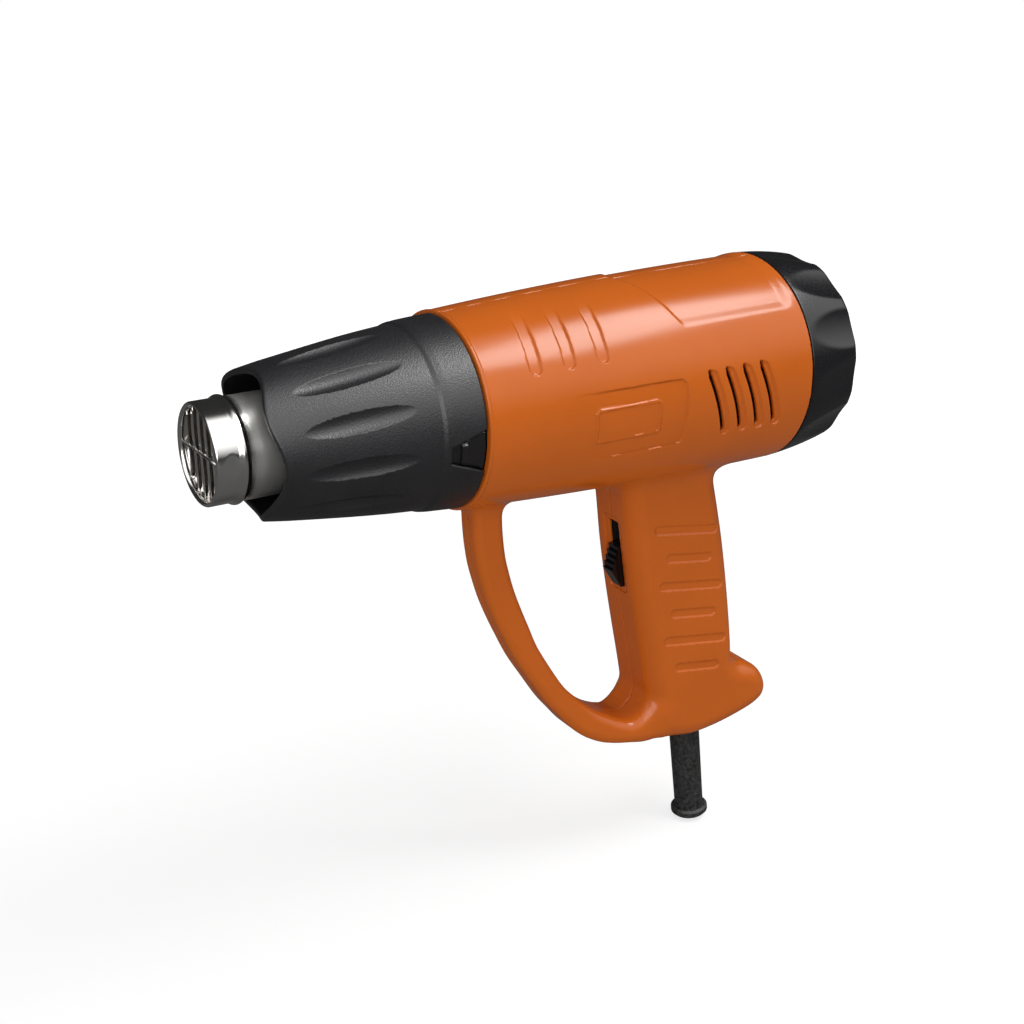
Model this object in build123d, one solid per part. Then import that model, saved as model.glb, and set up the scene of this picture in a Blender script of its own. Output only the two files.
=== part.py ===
from build123d import *
import os
from math import atan2, cos, degrees, pi, radians, sin, sqrt

# Pistol hot-air gun with a closed D-shaped handle. Lengths are in millimetres.
# The origin is the centre of the nozzle's mouth. +X runs along the barrel to the
# rear, +Z is up, and -Y is the left side.

os.makedirs("parts", exist_ok=True)

# General
overrun = 5.0            # how far a cutting tool reaches past what it cuts
seat_gap = 0.1           # between pieces clamped in the housing
slide_gap = 0.3          # between a moving piece and the piece that guides it
running_gap = 0.05       # radial gap of a shaft in its bush

# Nozzle
nozzle_radius = 17.5
nozzle_wall = 0.8
nozzle_length = 96.0
spigot_length = 7.2      # plain end that takes an accessory nozzle
bead_width = 4.6
bead_height = 1.1
slat_count = 5
slat_pitch = 5.5
slat_thickness = 0.8
slat_depth = 5.0
slat_setback = 1.6
grille_ring_wall = 0.6
cross_wire_radius = 0.6

# Nozzle guard
guard_front_x = 16.3
guard_length = 74.2
guard_radius = 35.4
guard_wall = 2.2
guard_bore = 32.6        # rear bore, which runs on the collar
guard_bore_depth = 14.0
guard_shares = (         # shares of the guard's length and rear radius
    (0.0, 0.700), (0.05, 0.740), (0.145, 0.774), (0.345, 0.831),
    (0.55, 0.887), (0.765, 0.927), (0.795, 0.927), (0.805, 0.949), (0.88, 0.970), (0.93, 0.989), (1.0, 1.0),
)
rim_wave_depth = 4.0
rim_wave_angle = -9.0
dimple_count = 12
dimple_length = 38.0
dimple_width = 6.8
dimple_depth = 1.1
dimple_centre_x = 47.0
dimple_angle = -8.5      # angle of one dimple above the left side
notch_count = 3
notch_angle = -9.5
notch_depth = 13.0
notch_mouth_width = 14.2
notch_floor_width = 5.8
lug_depth = 9.0
lug_sink = 1.0           # how far the lug's top lies under the guard's surface

# Housing barrel
barrel_gap = 0.5         # shadow gap behind the guard
barrel_length = 137.5
barrel_front_radius = 35.6
barrel_shoulder_share = 0.575
barrel_shoulder_radius = 39.6
barrel_radius = 40.4
shell_wall = 2.5

# Barrel details
vent_count = 4
vent_pitch = 7.8
vent_first_x = 185.2
vent_z = -1.7
vent_length = 25.9
vent_width = 1.7
vent_lean = 19.0
vent_recess_width = 3.8
vent_recess_depth = 0.6
vent_recess_shift = 1.1
label_x = 146.5
label_z = -3.4
label_length = 49.0
label_height = 25.0
label_depth = 0.5
plate_length = 26.5
plate_height = 12.0
plate_rise = 0.3
label_corner = 3.0
groove_count = 3
groove_first_x = 112.8
groove_pitch = 13.4
groove_angle = 49.0
groove_length = 25.0
groove_width = 4.5
groove_depth = 0.6
groove_lean = 9.0
scoop_front_x = 173.0
scoop_length = 49.0
scoop_depth = 0.7
scoop_angle = 47.0       # the scoop lies above this angle on each side

# Grip
grip_top_z = -32.0
grip_drop = 123.6
grip_front_x = 163.0
grip_depth = 75.6        # from the top of the grip's front to the heel's tip
grip_width = 30.0
grip_corner = 7.5
grip_front_shares = ((0.0, 0.0), (0.087, 0.405), (0.222, 0.88))
grip_back_shares = ((0.545, 0.0), (0.678, 0.372), (0.752, 0.69))
grip_foot_share = (0.53, 1.0)
grip_toe_share = (0.244, 0.968)
heel_shares = ((0.767, 0.768), (0.985, 0.785), (1.0, 0.955))
heel_radius = 8.6
heel_throat_radius = 7.0
toe_radius = 9.0
grip_bar_count = 6
grip_bar_pitch = 12.1
grip_bar_first_x = 191.6
grip_bar_first_z = -61.2
grip_bar_drift = 1.55    # how far each bar lies behind the one above it
grip_bar_height = 3.4
grip_bar_depth = 0.5
grip_bar_lengths = (31.0, 22.0)
grip_bar_tilt = 9.5

# Loop bar of the D-handle, as sections from the barrel down to the grip
bar_width = 13.0
bar_thickness = 11.3
bar_corner = 3.2
bar_x = 107.6
bar_reach = 77.4         # from the bar's top to its end inside the grip
bar_drop = 110.0
bar_shares = (           # along, down, direction in degrees, width, thickness, corner
    (0.0, 0.0, -90.0, 1.0, 1.05, 1.0),
    (0.006, 0.164, -88.0, 1.0, 1.0, 1.0),
    (0.046, 0.327, -79.0, 0.97, 0.97, 1.0),
    (0.116, 0.471, -70.0, 0.97, 0.93, 1.0),
    (0.220, 0.638, -61.0, 1.0, 0.82, 0.95),
    (0.384, 0.823, -51.0, 1.08, 0.76, 0.95),
    (0.525, 0.942, -38.0, 1.31, 0.95, 1.15),
    (0.665, 1.013, -17.0, 1.69, 1.01, 1.4),
    (0.806, 1.042, -8.0, 2.05, 0.90, 1.5),
    (0.916, 1.026, -4.0, 2.23, 1.40, 1.9),
    (1.0, 0.990, 0.0, 2.27, 2.15, 2.2),
)

# Switch in the grip's front
switch_z = -71.0
switch_lean = 8.1
switch_face_x = 167.96
switch_gap = 0.25        # between the switch and the inside of the grip's front
window_length = 28.0
window_width = 6.6
window_frame = 2.2
window_frame_depth = 0.8
button_length = 17.5
button_rise = 4.4
button_foot_rise = 0.5
button_peak_share = 0.49
button_steps = 4
switch_travel = 10.0
switch_depth = 13.0
switch_width = 13.0
switch_length = 34.0
slider_plate = 1.2
terminal_width = 2.4
terminal_thickness = 0.8
terminal_reach = 5.0

# Strain relief at the grip's foot
relief_x = 204.6
relief_z = -153.4
relief_lean = 6.3
relief_length = 42.0
relief_top_radius = 6.3
relief_end_radius = 6.0
relief_collar_radius = 7.7
relief_collar_length = 3.6
relief_bore = 3.7
relief_flange_radius = 8.6
relief_flange = 2.4
relief_neck = 3.4

# Screws that join the shells
screw_radius = 1.5
screw_head_radius = 3.0
screw_head_height = 2.2
screw_seat_y = 5.0
screw_depth = 9.0
boss_radius = 4.8
front_screw_setback = 13.0
front_screw_height = 29.0
top_screw_x = 152.0
top_screw_height = 31.0
grip_screw_shares = ((0.41, 0.125), (0.635, 0.688))
bar_screw_share = (0.67, 0.998)

# Collar that carries the nozzle and the guard
collar_wall = 2.0
collar_reach = 13.6      # how far the collar reaches into the guard
collar_web = 3.0
collar_flange_share = 0.985

# Heater
heater_front_x = 14.0
heater_length = 122.0
heater_gap = 0.3
heater_wall = 0.6
former_thickness = 1.0
former_start = 8.0
former_length = 96.0
coil_radius = 12.2
coil_wire = 1.0
coil_turns = 9
coil_pitch = 9.0
coil_start = 12.0
flange_x = 126.0
flange_thickness = 2.0
flange_radius = 34.0
rib_thickness = 2.4
rib_height = 4.0
cutout_radius = 5.0
cutout_height = 3.0

# Fan, its duct and the motor
duct_front_x = 140.0
duct_front_radius = 20.0
duct_cone_rear_x = 175.0
duct_rear_x = 219.0
duct_radius = 34.3
duct_wall = 1.8
stator_count = 5
stator_thickness = 1.8
stator_length = 12.0
motor_front_x = 158.0
motor_length = 34.0
motor_radius = 13.8
motor_wall = 1.2
magnet_thickness = 2.6
magnet_angle = 130.0
bell_length = 6.0
bush_radius = 3.0
bush_length = 4.0
shaft_radius = 1.15
shaft_nose = 2.0
armature_radius = 9.0
armature_length = 18.0
armature_slots = 5
armature_slot_width = 2.6
commutator_radius = 3.6
commutator_length = 5.5
fan_x = 198.0
fan_hub_radius = 8.0
fan_hub_length = 12.0
fan_radius = 31.6
fan_blades = 9
blade_thickness = 1.3
blade_chord = 11.0
blade_root_angle = 30.0
blade_tip_angle = 58.0
board_length = 20.0
board_height = 16.0
board_thickness = 1.6
diode_radius = 1.6
diode_length = 5.0

# Intake grille and the turning rear cap
cap_gap = 0.6
cap_length = 29.6
cap_wall = 2.4
cap_shares = ((0.0, 0.998), (0.545, 0.943), (0.78, 0.903), (0.925, 0.85), (1.0, 0.785))
flute_count = 12
flute_radius = 8.5
flute_depth = 2.0
flute_angle = 30.0
cup_radius = 33.6
cup_wall = 1.8
cup_flange_radius = 37.0
cup_flange = 2.4
cup_flange_x = 222.0
cup_floor_x = 244.0
cup_floor = 2.4
shutter_thickness = 2.2
shutter_turn = 15.0
intake_count = 12
intake_inner_radius = 10.0
intake_outer_radius = 29.0
intake_angle = 13.0
pivot_radius = 4.0
pivot_head_radius = 6.5
pivot_head = 1.6
cap_hub_radius = 8.5

# Cable fittings in the grip's foot
block_x = 186.0
block_z = -118.0
block_length = 16.0
block_height = 10.0
block_ways = 3
block_screw_radius = 1.6
clamp_z = -139.5
clamp_x = 203.4
clamp_length = 21.0
clamp_height = 6.0
clamp_thickness = 2.4
clamp_screw_share = 0.36
clamp_screw_radius = 1.3
clamp_post_radius = 2.8
clamp_y = 3.9

guard_rear_x = guard_front_x + guard_length
barrel_front_x = guard_rear_x + barrel_gap
barrel_rear_x = barrel_front_x + barrel_length
shoulder_x = barrel_front_x + barrel_shoulder_share * barrel_length
cap_front_x = barrel_rear_x + cap_gap
cap_rear_x = cap_front_x + cap_length
half_width = grip_width / 2


def turned(points):
    """A solid of revolution about the barrel's axis from (x, radius) points."""
    face = make_face(Polyline(*[(x, 0, r) for x, r in points], close=True))
    return revolve(face, Axis.X, 360)


def ring(x0, x1, inner, outer):
    """A plain ring on the barrel's axis."""
    return turned(((x0, inner), (x1, inner), (x1, outer), (x0, outer)))


def disc(x0, x1, outer):
    """A plain disc on the barrel's axis."""
    return turned(((x0, 0), (x1, 0), (x1, outer), (x0, outer)))


def block(x0, x1, y0, y1, z0, z1):
    """A box between two corners."""
    return Pos((x0 + x1) / 2, (y0 + y1) / 2, (z0 + z1) / 2) * Box(x1 - x0, y1 - y0, z1 - z0)


def cross_pin(x, z, y0, y1, radius):
    """A round bar along Y."""
    return Pos(x, (y0 + y1) / 2, z) * Rot(90, 0, 0) * Cylinder(radius, y1 - y0)


def around(shape, angle):
    """A shape turned about the barrel's axis; a positive angle lifts the left side."""
    return Rot(-angle, 0, 0) * shape


def radius_at(x):
    """Outer radius of the housing's barrel at a place along it."""
    front = barrel_front_radius
    if x < shoulder_x:
        share = (x - barrel_front_x) / (shoulder_x - barrel_front_x)
        return front + share * (barrel_shoulder_radius - front)
    share = (x - shoulder_x) / (barrel_rear_x - shoulder_x)
    return barrel_shoulder_radius + share * (barrel_radius - barrel_shoulder_radius)


def barrel(inset, reach=0.0):
    """The barrel's form, drawn in by inset and lengthened at both ends by reach."""
    front = barrel_front_x - reach
    rear = barrel_rear_x + reach
    return turned((
        (front, 0), (front, radius_at(front) - inset), (shoulder_x, barrel_shoulder_radius - inset),
        (rear, radius_at(rear) - inset), (rear, 0),
    ))


def grip_point(share):
    """A point of the grip's outline from its shares of depth and drop."""
    return (grip_front_x + share[0] * grip_depth, 0, grip_top_z - share[1] * grip_drop)


def grip_face():
    """The grip's outline seen from the side, with the heel at the back of the foot."""
    front = [grip_point(s) for s in grip_front_shares]
    back = [grip_point(s) for s in grip_back_shares]
    heel = [grip_point(s) for s in heel_shares]
    front_line = ThreePointArc(*front)
    back_line = ThreePointArc(*back)
    heel_line = FilletPolyline(
        back[2], heel[0], heel[1], heel[2], grip_point(grip_foot_share), grip_point(grip_toe_share), front[2],
        radius=[heel_throat_radius, heel_radius, heel_radius, grip_width, toe_radius],
    )
    top_line = Line(back[0], front[0])
    return make_face(Curve() + [front_line, back_line, heel_line, top_line])


def grip(inset):
    """The grip, drawn in by inset, with its long edges rounded."""
    face = grip_face()
    if inset > 0:
        face = offset(face, -inset)
    solid = extrude(face, half_width - inset, dir=(0, 1, 0), both=True)
    top = solid.bounding_box().max.Z
    side = half_width - inset
    edges = [
        e for e in solid.edges()
        if abs(abs(e.center().Y) - side) < seat_gap and e.center().Z < top - seat_gap
    ]
    return fillet(edges, grip_corner - inset)


def bar_section(row, inset):
    """One rounded section of the loop bar, square to the bar's run."""
    along, down, direction, width, thickness, corner = row
    place = (bar_x + along * bar_reach, 0, grip_top_z - down * bar_drop)
    heading = (cos(radians(direction)), 0, sin(radians(direction)))
    plane = Plane(origin=place, x_dir=(0, 1, 0), z_dir=heading)
    return plane * RectangleRounded(
        width * bar_width - 2 * inset,
        thickness * bar_thickness - 2 * inset,
        max(corner * bar_corner - inset, inset / 4),
    )


def loop_bar(inset):
    """The bar that closes the D-handle, swelling to the grip's width at its foot."""
    return loft([bar_section(row, inset) for row in bar_shares])


def side_slot(x, z, length, width, lean):
    """A slot's outline on the side of the housing; a positive lean tips its top to the nose."""
    turn = Plane.XZ * Pos(x, z) * Rot(0, 0, 90 + lean)
    return turn * SlotOverall(length, width)


def both_sides(face, reach):
    """A cutter through both sides of the housing from an outline in its middle plane."""
    return extrude(face, reach, dir=(0, 1, 0), both=True)


def vents():
    """Leaning air slots, each in a shallow wider recess."""
    tools = []
    reach = barrel_radius + overrun
    skin = barrel(vent_recess_depth, overrun)
    for i in range(vent_count):
        x = vent_first_x + i * vent_pitch
        tools.append(both_sides(side_slot(x, vent_z, vent_length, vent_width, vent_lean), reach))
        wide = side_slot(
            x + vent_recess_shift, vent_z - vent_recess_shift,
            vent_length + vent_recess_shift, vent_recess_width, vent_lean,
        )
        tools.append(both_sides(wide, reach) - skin)
    return tools


def label_recess():
    """A bare label panel: a shallow recess with a low plate left standing in it."""
    reach = barrel_radius + overrun
    panel = Plane.XZ * Pos(label_x, label_z) * RectangleRounded(label_length, label_height, label_corner)
    plate = Plane.XZ * Pos(label_x, label_z) * RectangleRounded(plate_length, plate_height, label_corner / 2)
    floor = barrel(label_depth, overrun)
    plate_top = both_sides(plate, reach) & barrel(label_depth - plate_rise, overrun)
    return [both_sides(panel, reach) - floor - plate_top]


def side_grooves():
    """Short sunk bars high on the front of the barrel, on both sides."""
    tools = []
    floor = barrel(groove_depth, overrun)
    for i in range(groove_count):
        x = groove_first_x + i * groove_pitch
        outline = Plane.XZ * Pos(x, 0) * Rot(0, 0, 90 - groove_lean) * SlotOverall(groove_length, groove_width)
        bar = extrude(outline, barrel_radius + overrun) - floor
        left = around(bar, groove_angle)
        tools.append(left)
        tools.append(mirror(left, Plane.XZ))
    return tools


def top_scoop():
    """A long shallow flat along the top of the barrel's rear."""
    floor = barrel(scoop_depth, overrun)
    top = barrel_radius + overrun
    half = barrel_radius * cos(radians(scoop_angle))
    box = block(scoop_front_x, scoop_front_x + scoop_length, -half, half, 0, top)
    return [box - floor]


def grip_bars():
    """Shallow bars sunk in the grip's sides, long and short by turns."""
    tools = []
    floor = grip(grip_bar_depth)
    for i in range(grip_bar_count):
        place = Pos(grip_bar_first_x + i * grip_bar_drift, grip_bar_first_z - i * grip_bar_pitch)
        length = grip_bar_lengths[i % len(grip_bar_lengths)]
        outline = Plane.XZ * place * Rot(0, 0, -grip_bar_tilt) * SlotOverall(length, grip_bar_height)
        tools.append(both_sides(outline, grip_width) - floor)
    return tools


def screw_places():
    """Places (x, z) of the screws that join the shells."""
    front_x = barrel_front_x + front_screw_setback
    places = [(front_x, front_screw_height), (front_x, -front_screw_height), (top_screw_x, top_screw_height)]
    for share in grip_screw_shares:
        x, _, z = grip_point(share)
        places.append((x, z))
    along, down = bar_screw_share
    places.append((bar_x + along * bar_reach, grip_top_z - down * bar_drop))
    return places


def screw_bosses(outer):
    """Posts inside the shells that take the joining screws."""
    posts = [cross_pin(x, z, -barrel_radius, barrel_radius, boss_radius) for x, z in screw_places()]
    return [post & outer for post in posts]


def screw_holes():
    """Pilot holes in the left shell, and clearance holes with head recesses in the right."""
    tools = []
    for x, z in screw_places():
        tools.append(cross_pin(x, z, -screw_depth, 0, screw_radius + running_gap))
        tools.append(cross_pin(x, z, 0, screw_seat_y, screw_radius + slide_gap))
        tools.append(cross_pin(x, z, screw_seat_y, barrel_radius + overrun, screw_head_radius + slide_gap))
    return tools


def inner_ribs():
    """Rings inside the barrel that hold the collar, the heater flange, the duct and the grille."""
    def rib(x0, thickness, seat):
        return ring(x0, x0 + thickness, seat, radius_at(x0) - shell_wall / 2)

    collar_rear = barrel_front_x + rib_thickness + collar_web + seat_gap
    flange_rear = flange_x + flange_thickness + seat_gap
    cup_rear = cup_flange_x + cup_flange + seat_gap
    return [
        rib(barrel_front_x, rib_thickness, guard_bore - slide_gap + seat_gap),
        rib(collar_rear + seat_gap, rib_thickness, flange_radius - rib_height),
        rib(flange_x - seat_gap - rib_thickness, rib_thickness, flange_radius - rib_height),
        rib(flange_rear, rib_thickness, flange_radius - rib_height),
        rib(duct_cone_rear_x, rib_thickness, duct_radius + seat_gap),
        rib(duct_rear_x - rib_thickness, rib_thickness, duct_radius + seat_gap),
        rib(cup_rear, rib_thickness, cup_flange_radius - rib_height / 2),
    ]


def relief_place():
    """The strain relief's frame: its axis points down and out of the foot."""
    return Pos(relief_x, 0, relief_z) * Rot(0, -relief_lean, 0)


def relief_turned(points):
    """A solid of revolution about the strain relief's axis from (depth, radius) points."""
    face = make_face(Polyline(*[(r, 0, -s) for s, r in points], close=True))
    return relief_place() * revolve(face, Axis.Z, 360)


def relief_hole():
    """The opening in the grip's foot, with a groove that holds the strain relief's flange."""
    neck = relief_top_radius + seat_gap
    return relief_turned(((-relief_neck, 0), (-relief_neck, neck), (relief_neck + overrun, neck),
                          (relief_neck + overrun, 0)))


def switch_place():
    """The switch's frame: +X points into the grip, +Z up along its front."""
    return Pos(switch_face_x, 0, switch_z) * Rot(0, -switch_lean, 0)


def window_cut():
    """The switch's window through the grip's front, in a shallow frame."""
    plane = switch_place() * Plane.YZ.location
    hole = extrude(plane * RectangleRounded(window_width, window_length, slide_gap * 2),
                   shell_wall + overrun, both=True)
    wide = window_width + 2 * window_frame
    tall = window_length + 2 * window_frame
    frame = extrude(plane * RectangleRounded(wide, tall, window_frame), overrun)
    shift = switch_place() * Pos(window_frame_depth - overrun, 0, 0) * switch_place().inverse()
    return [hole, shift * frame]


def clamp_posts():
    """Two posts in the left shell that the cord clamp is screwed to."""
    posts = []
    for side in (-1, 1):
        x = clamp_x + side * clamp_screw_share * clamp_length
        posts.append(cross_pin(x, clamp_z, -half_width + shell_wall / 2, -clamp_y, clamp_post_radius))
    return posts


def housing():
    """The hollow housing in one piece, before it is parted into two shells."""
    outer = barrel(0) + grip(0) + loop_bar(0)
    hollow = barrel(shell_wall, overrun) + grip(shell_wall) + loop_bar(shell_wall)
    body = outer - hollow + (screw_bosses(outer) + inner_ribs())
    details = vents() + label_recess() + side_grooves() + top_scoop() + grip_bars()
    return body - (details + screw_holes() + window_cut() + [relief_hole()])


def shells():
    """The left and right shells."""
    body = housing()
    reach = cap_rear_x
    left = body & block(0, reach, -reach, 0, -reach, reach)
    right = body & block(0, reach, 0, reach, -reach, reach)
    posts = clamp_posts()
    holes = [
        cross_pin(clamp_x + side * clamp_screw_share * clamp_length, clamp_z,
                  -half_width + shell_wall, -clamp_y, clamp_screw_radius + running_gap)
        for side in (-1, 1)
    ]
    return left + posts - holes, right


def housing_screws():
    """Pan-head screws that join the shells, all driven from the right side."""
    screws = []
    for x, z in screw_places():
        shank = cross_pin(x, z, -screw_depth + slide_gap, screw_seat_y, screw_radius)
        head = cross_pin(x, z, screw_seat_y, screw_seat_y + screw_head_height, screw_head_radius)
        slot = block(x - screw_head_radius, x + screw_head_radius,
                     screw_seat_y + screw_head_height / 2, screw_seat_y + screw_head_height,
                     z - screw_head_radius / 6, z + screw_head_radius / 6)
        screws.append(shank + head - slot)
    return Compound(children=screws)


def nozzle_tube():
    """Thin steel barrel with a raised bead behind the plain end."""
    inner = nozzle_radius - nozzle_wall
    bead_x = spigot_length
    bead_mid = bead_x + bead_width / 2
    bead_rear = bead_x + bead_width
    crest = nozzle_radius + bead_height
    outer_line = Curve() + [
        Line((0, 0, inner), (0, 0, nozzle_radius)),
        Line((0, 0, nozzle_radius), (bead_x, 0, nozzle_radius)),
        ThreePointArc((bead_x, 0, nozzle_radius), (bead_mid, 0, crest), (bead_rear, 0, nozzle_radius)),
        Line((bead_rear, 0, nozzle_radius), (nozzle_length, 0, nozzle_radius)),
        Line((nozzle_length, 0, nozzle_radius), (nozzle_length, 0, inner)),
        Line((nozzle_length, 0, inner), (0, 0, inner)),
    ]
    return revolve(make_face(outer_line), Axis.X, 360)


def nozzle_grille():
    """Upright slats and one cross wire in a thin ring inside the nozzle's mouth."""
    outer = nozzle_radius - nozzle_wall - running_gap
    rear = slat_setback + slat_depth
    body = ring(slat_setback, rear, outer - grille_ring_wall, outer)
    inside = disc(slat_setback, rear, outer)
    for i in range(slat_count):
        y = (i - (slat_count - 1) / 2) * slat_pitch
        slat = block(slat_setback, rear, y - slat_thickness / 2, y + slat_thickness / 2, -outer, outer)
        body += slat & inside
    wire = cross_pin(slat_setback + cross_wire_radius, 0, -outer, outer, cross_wire_radius)
    return body + (wire & inside)


def guard_blank(inset):
    """The guard's tapered form, drawn in by inset."""
    points = [(guard_front_x, 0)]
    for along, out in guard_shares:
        points.append((guard_front_x + along * guard_length, out * guard_radius - inset))
    points.append((guard_rear_x, 0))
    return turned(points)


def guard_surface(x):
    """The guard's outer radius at a place along it, between its outline's points."""
    share = (x - guard_front_x) / guard_length
    for (a0, r0), (a1, r1) in zip(guard_shares, guard_shares[1:]):
        if a0 <= share <= a1:
            return guard_radius * (r0 + (r1 - r0) * (share - a0) / (a1 - a0))
    return guard_radius


def dimple_cutter():
    """A long barrel-shaped cutter for one finger dimple, on the left side."""
    half = dimple_length / 2
    swell = ((dimple_width / 2) ** 2 + dimple_depth ** 2) / (2 * dimple_depth)
    end = swell - dimple_depth
    line = Curve() + [
        ThreePointArc((-half, 0, end), (0, 0, swell), (half, 0, end)),
        Line((half, 0, end), (half, 0, 0)),
        Line((half, 0, 0), (-half, 0, 0)),
        Line((-half, 0, 0), (-half, 0, end)),
    ]
    front = guard_surface(dimple_centre_x - half)
    rear = guard_surface(dimple_centre_x + half)
    slope = degrees(atan2(rear - front, dimple_length))
    centre = guard_surface(dimple_centre_x) + end
    return Pos(dimple_centre_x, -centre, 0) * Rot(0, 0, -slope) * revolve(make_face(line), Axis.X, 360)


def rim_waves():
    """Two crossed round cutters that give the guard's front rim its four waves."""
    reach = guard_shares[1][1] * guard_radius
    chord = reach * sin(radians(45))
    radius = (chord ** 2 + rim_wave_depth ** 2) / (2 * rim_wave_depth)
    tool = Pos(guard_front_x + rim_wave_depth - radius, 0, 0) * Rot(90, 0, 0) * Cylinder(radius, 4 * reach)
    return [around(tool, rim_wave_angle), around(tool, rim_wave_angle + 90)]


def notch_cutter():
    """The notch that drops over a collar lug: open at the rear edge, narrower in front."""
    front = guard_rear_x - notch_depth
    rear = guard_rear_x + overrun
    mouth = notch_mouth_width / 2 * (notch_depth + overrun) / notch_depth
    floor = notch_floor_width / 2
    face = make_face(Polyline((front, 0, -floor), (rear, 0, -mouth), (rear, 0, mouth), (front, 0, floor),
                              close=True))
    return extrude(face, guard_radius + overrun, dir=(0, -1, 0))


def nozzle_guard():
    """Fluted heat guard with a wavy front rim, finger dimples and rear notches."""
    hollow = guard_blank(guard_wall) + disc(guard_front_x - overrun, guard_front_x + overrun,
                                            guard_shares[0][1] * guard_radius - guard_wall)
    hollow += disc(guard_rear_x - guard_bore_depth, guard_rear_x + overrun, guard_bore)
    body = guard_blank(0) - hollow - rim_waves()
    cutter = dimple_cutter()
    step = 360 / dimple_count
    body = body - [around(cutter, dimple_angle + i * step) for i in range(dimple_count)]
    notch = notch_cutter()
    return body - [around(notch, notch_angle + i * 360 / notch_count) for i in range(notch_count)]


def collar_lug():
    """One wedge-shaped lug that fills a guard notch with clearance, on the left side."""
    rear = guard_rear_x - slide_gap
    front = rear - lug_depth
    slope = (notch_mouth_width - notch_floor_width) / 2 / notch_depth
    floor = notch_floor_width / 2 + (front - guard_rear_x + notch_depth) * slope - 2 * slide_gap
    mouth = notch_mouth_width / 2 - 2 * slide_gap
    face = make_face(Polyline((front, 0, -floor), (rear, 0, -mouth), (rear, 0, mouth), (front, 0, floor),
                              close=True))
    prism = extrude(face, guard_radius, dir=(0, -1, 0))
    skin = guard_blank(lug_sink) - disc(0, guard_rear_x, guard_bore - slide_gap - collar_wall)
    return prism & skin


def collar():
    """Heat-proof collar between the shells: it holds the nozzle and guides the guard."""
    outer = guard_bore - slide_gap
    web_x = barrel_front_x + rib_thickness + seat_gap
    web_rear = web_x + collar_web
    flange = collar_flange_share * (radius_at(web_x) - shell_wall)
    tube = ring(guard_rear_x - collar_reach, web_x, outer - collar_wall, outer)
    web = ring(web_x, web_rear, nozzle_radius + seat_gap, flange)
    sleeve = ring(web_x - collar_web * 3, web_x, nozzle_radius + seat_gap, nozzle_radius + collar_wall)
    lug = collar_lug()
    return tube + web + sleeve + [around(lug, notch_angle + i * 360 / notch_count) for i in range(notch_count)]


def heater_tube():
    """Mica tube inside the nozzle, reaching back to the duct."""
    outer = nozzle_radius - nozzle_wall - heater_gap
    return ring(heater_front_x, heater_front_x + heater_length, outer - heater_wall, outer)


def heater_former():
    """Crossed mica plates that carry the heating coil."""
    outer = nozzle_radius - nozzle_wall - 2 * heater_gap - heater_wall
    x0 = heater_front_x + former_start
    x1 = x0 + former_length
    half = former_thickness / 2
    cross = block(x0, x1, -outer, outer, -half, half) + block(x0, x1, -half, half, -outer, outer)
    wound_x0 = x0 + coil_start - coil_pitch / 2
    wound_x1 = wound_x0 + (coil_turns + 1) * coil_pitch
    waist = ring(wound_x0, wound_x1, coil_radius - coil_wire / 2 - seat_gap, outer + overrun)
    return (cross & disc(x0, x1, outer)) - waist


def heating_coil():
    """Resistance wire wound round the former."""
    x0 = heater_front_x + former_start + coil_start
    path = Helix(coil_pitch, coil_pitch * coil_turns, coil_radius)
    section = Plane(origin=path @ 0, z_dir=path % 0) * Rectangle(coil_wire, coil_wire)
    coil = sweep(section, path=path, is_frenet=True)
    return Pos(x0, 0, 0) * Rot(0, 90, 0) * coil


def heater_flange():
    """Plate between the housing's ribs that centres the heater tube."""
    bore = nozzle_radius - nozzle_wall - heater_gap + seat_gap
    return ring(flange_x, flange_x + flange_thickness, bore, flange_radius)


def thermal_cutout():
    """Bimetal cut-out standing on the heater flange's rear face."""
    place = (nozzle_radius + flange_radius - rib_height) / 2
    base = flange_x + flange_thickness
    body = Pos(base + cutout_height / 2, -place, 0) * Rot(0, 90, 0) * Cylinder(cutout_radius, cutout_height)
    tab_y = -place - cutout_radius / 2
    half = terminal_thickness / 2
    tabs = [
        block(base + cutout_height, base + cutout_height + terminal_reach,
              tab_y + s * cutout_radius - half, tab_y + s * cutout_radius + half,
              -terminal_width / 2, terminal_width / 2)
        for s in (0, 1)
    ]
    return body + tabs


def duct():
    """Fan shroud that narrows round the motor into the heater tube, with motor arms."""
    inner = duct_radius - duct_wall
    nose = duct_front_radius - duct_wall
    shell = turned((
        (duct_front_x, nose), (duct_cone_rear_x, inner), (duct_rear_x, inner),
        (duct_rear_x, duct_radius), (duct_cone_rear_x, duct_radius), (duct_front_x, duct_front_radius),
    ))
    snout = ring(flange_x + flange_thickness + cutout_height, duct_front_x, nose, duct_front_radius)
    arms_x = duct_cone_rear_x
    sleeve = ring(arms_x, arms_x + stator_length, motor_radius + seat_gap, motor_radius + duct_wall)
    span = block(arms_x, arms_x + stator_length, -stator_thickness / 2, stator_thickness / 2,
                 motor_radius + duct_wall / 2, inner + duct_wall / 2)
    arms = [Rot(i * 360 / stator_count, 0, 0) * span for i in range(stator_count)]
    return shell + snout + sleeve + arms


def motor_can():
    """Drawn steel can of the direct-current motor, open at the front."""
    rear = motor_front_x + motor_length
    wall = motor_wall
    return turned((
        (motor_front_x, motor_radius - wall), (rear - wall, motor_radius - wall),
        (rear - wall, bush_radius + running_gap), (rear, bush_radius + running_gap),
        (rear, motor_radius), (motor_front_x, motor_radius),
    ))


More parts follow.
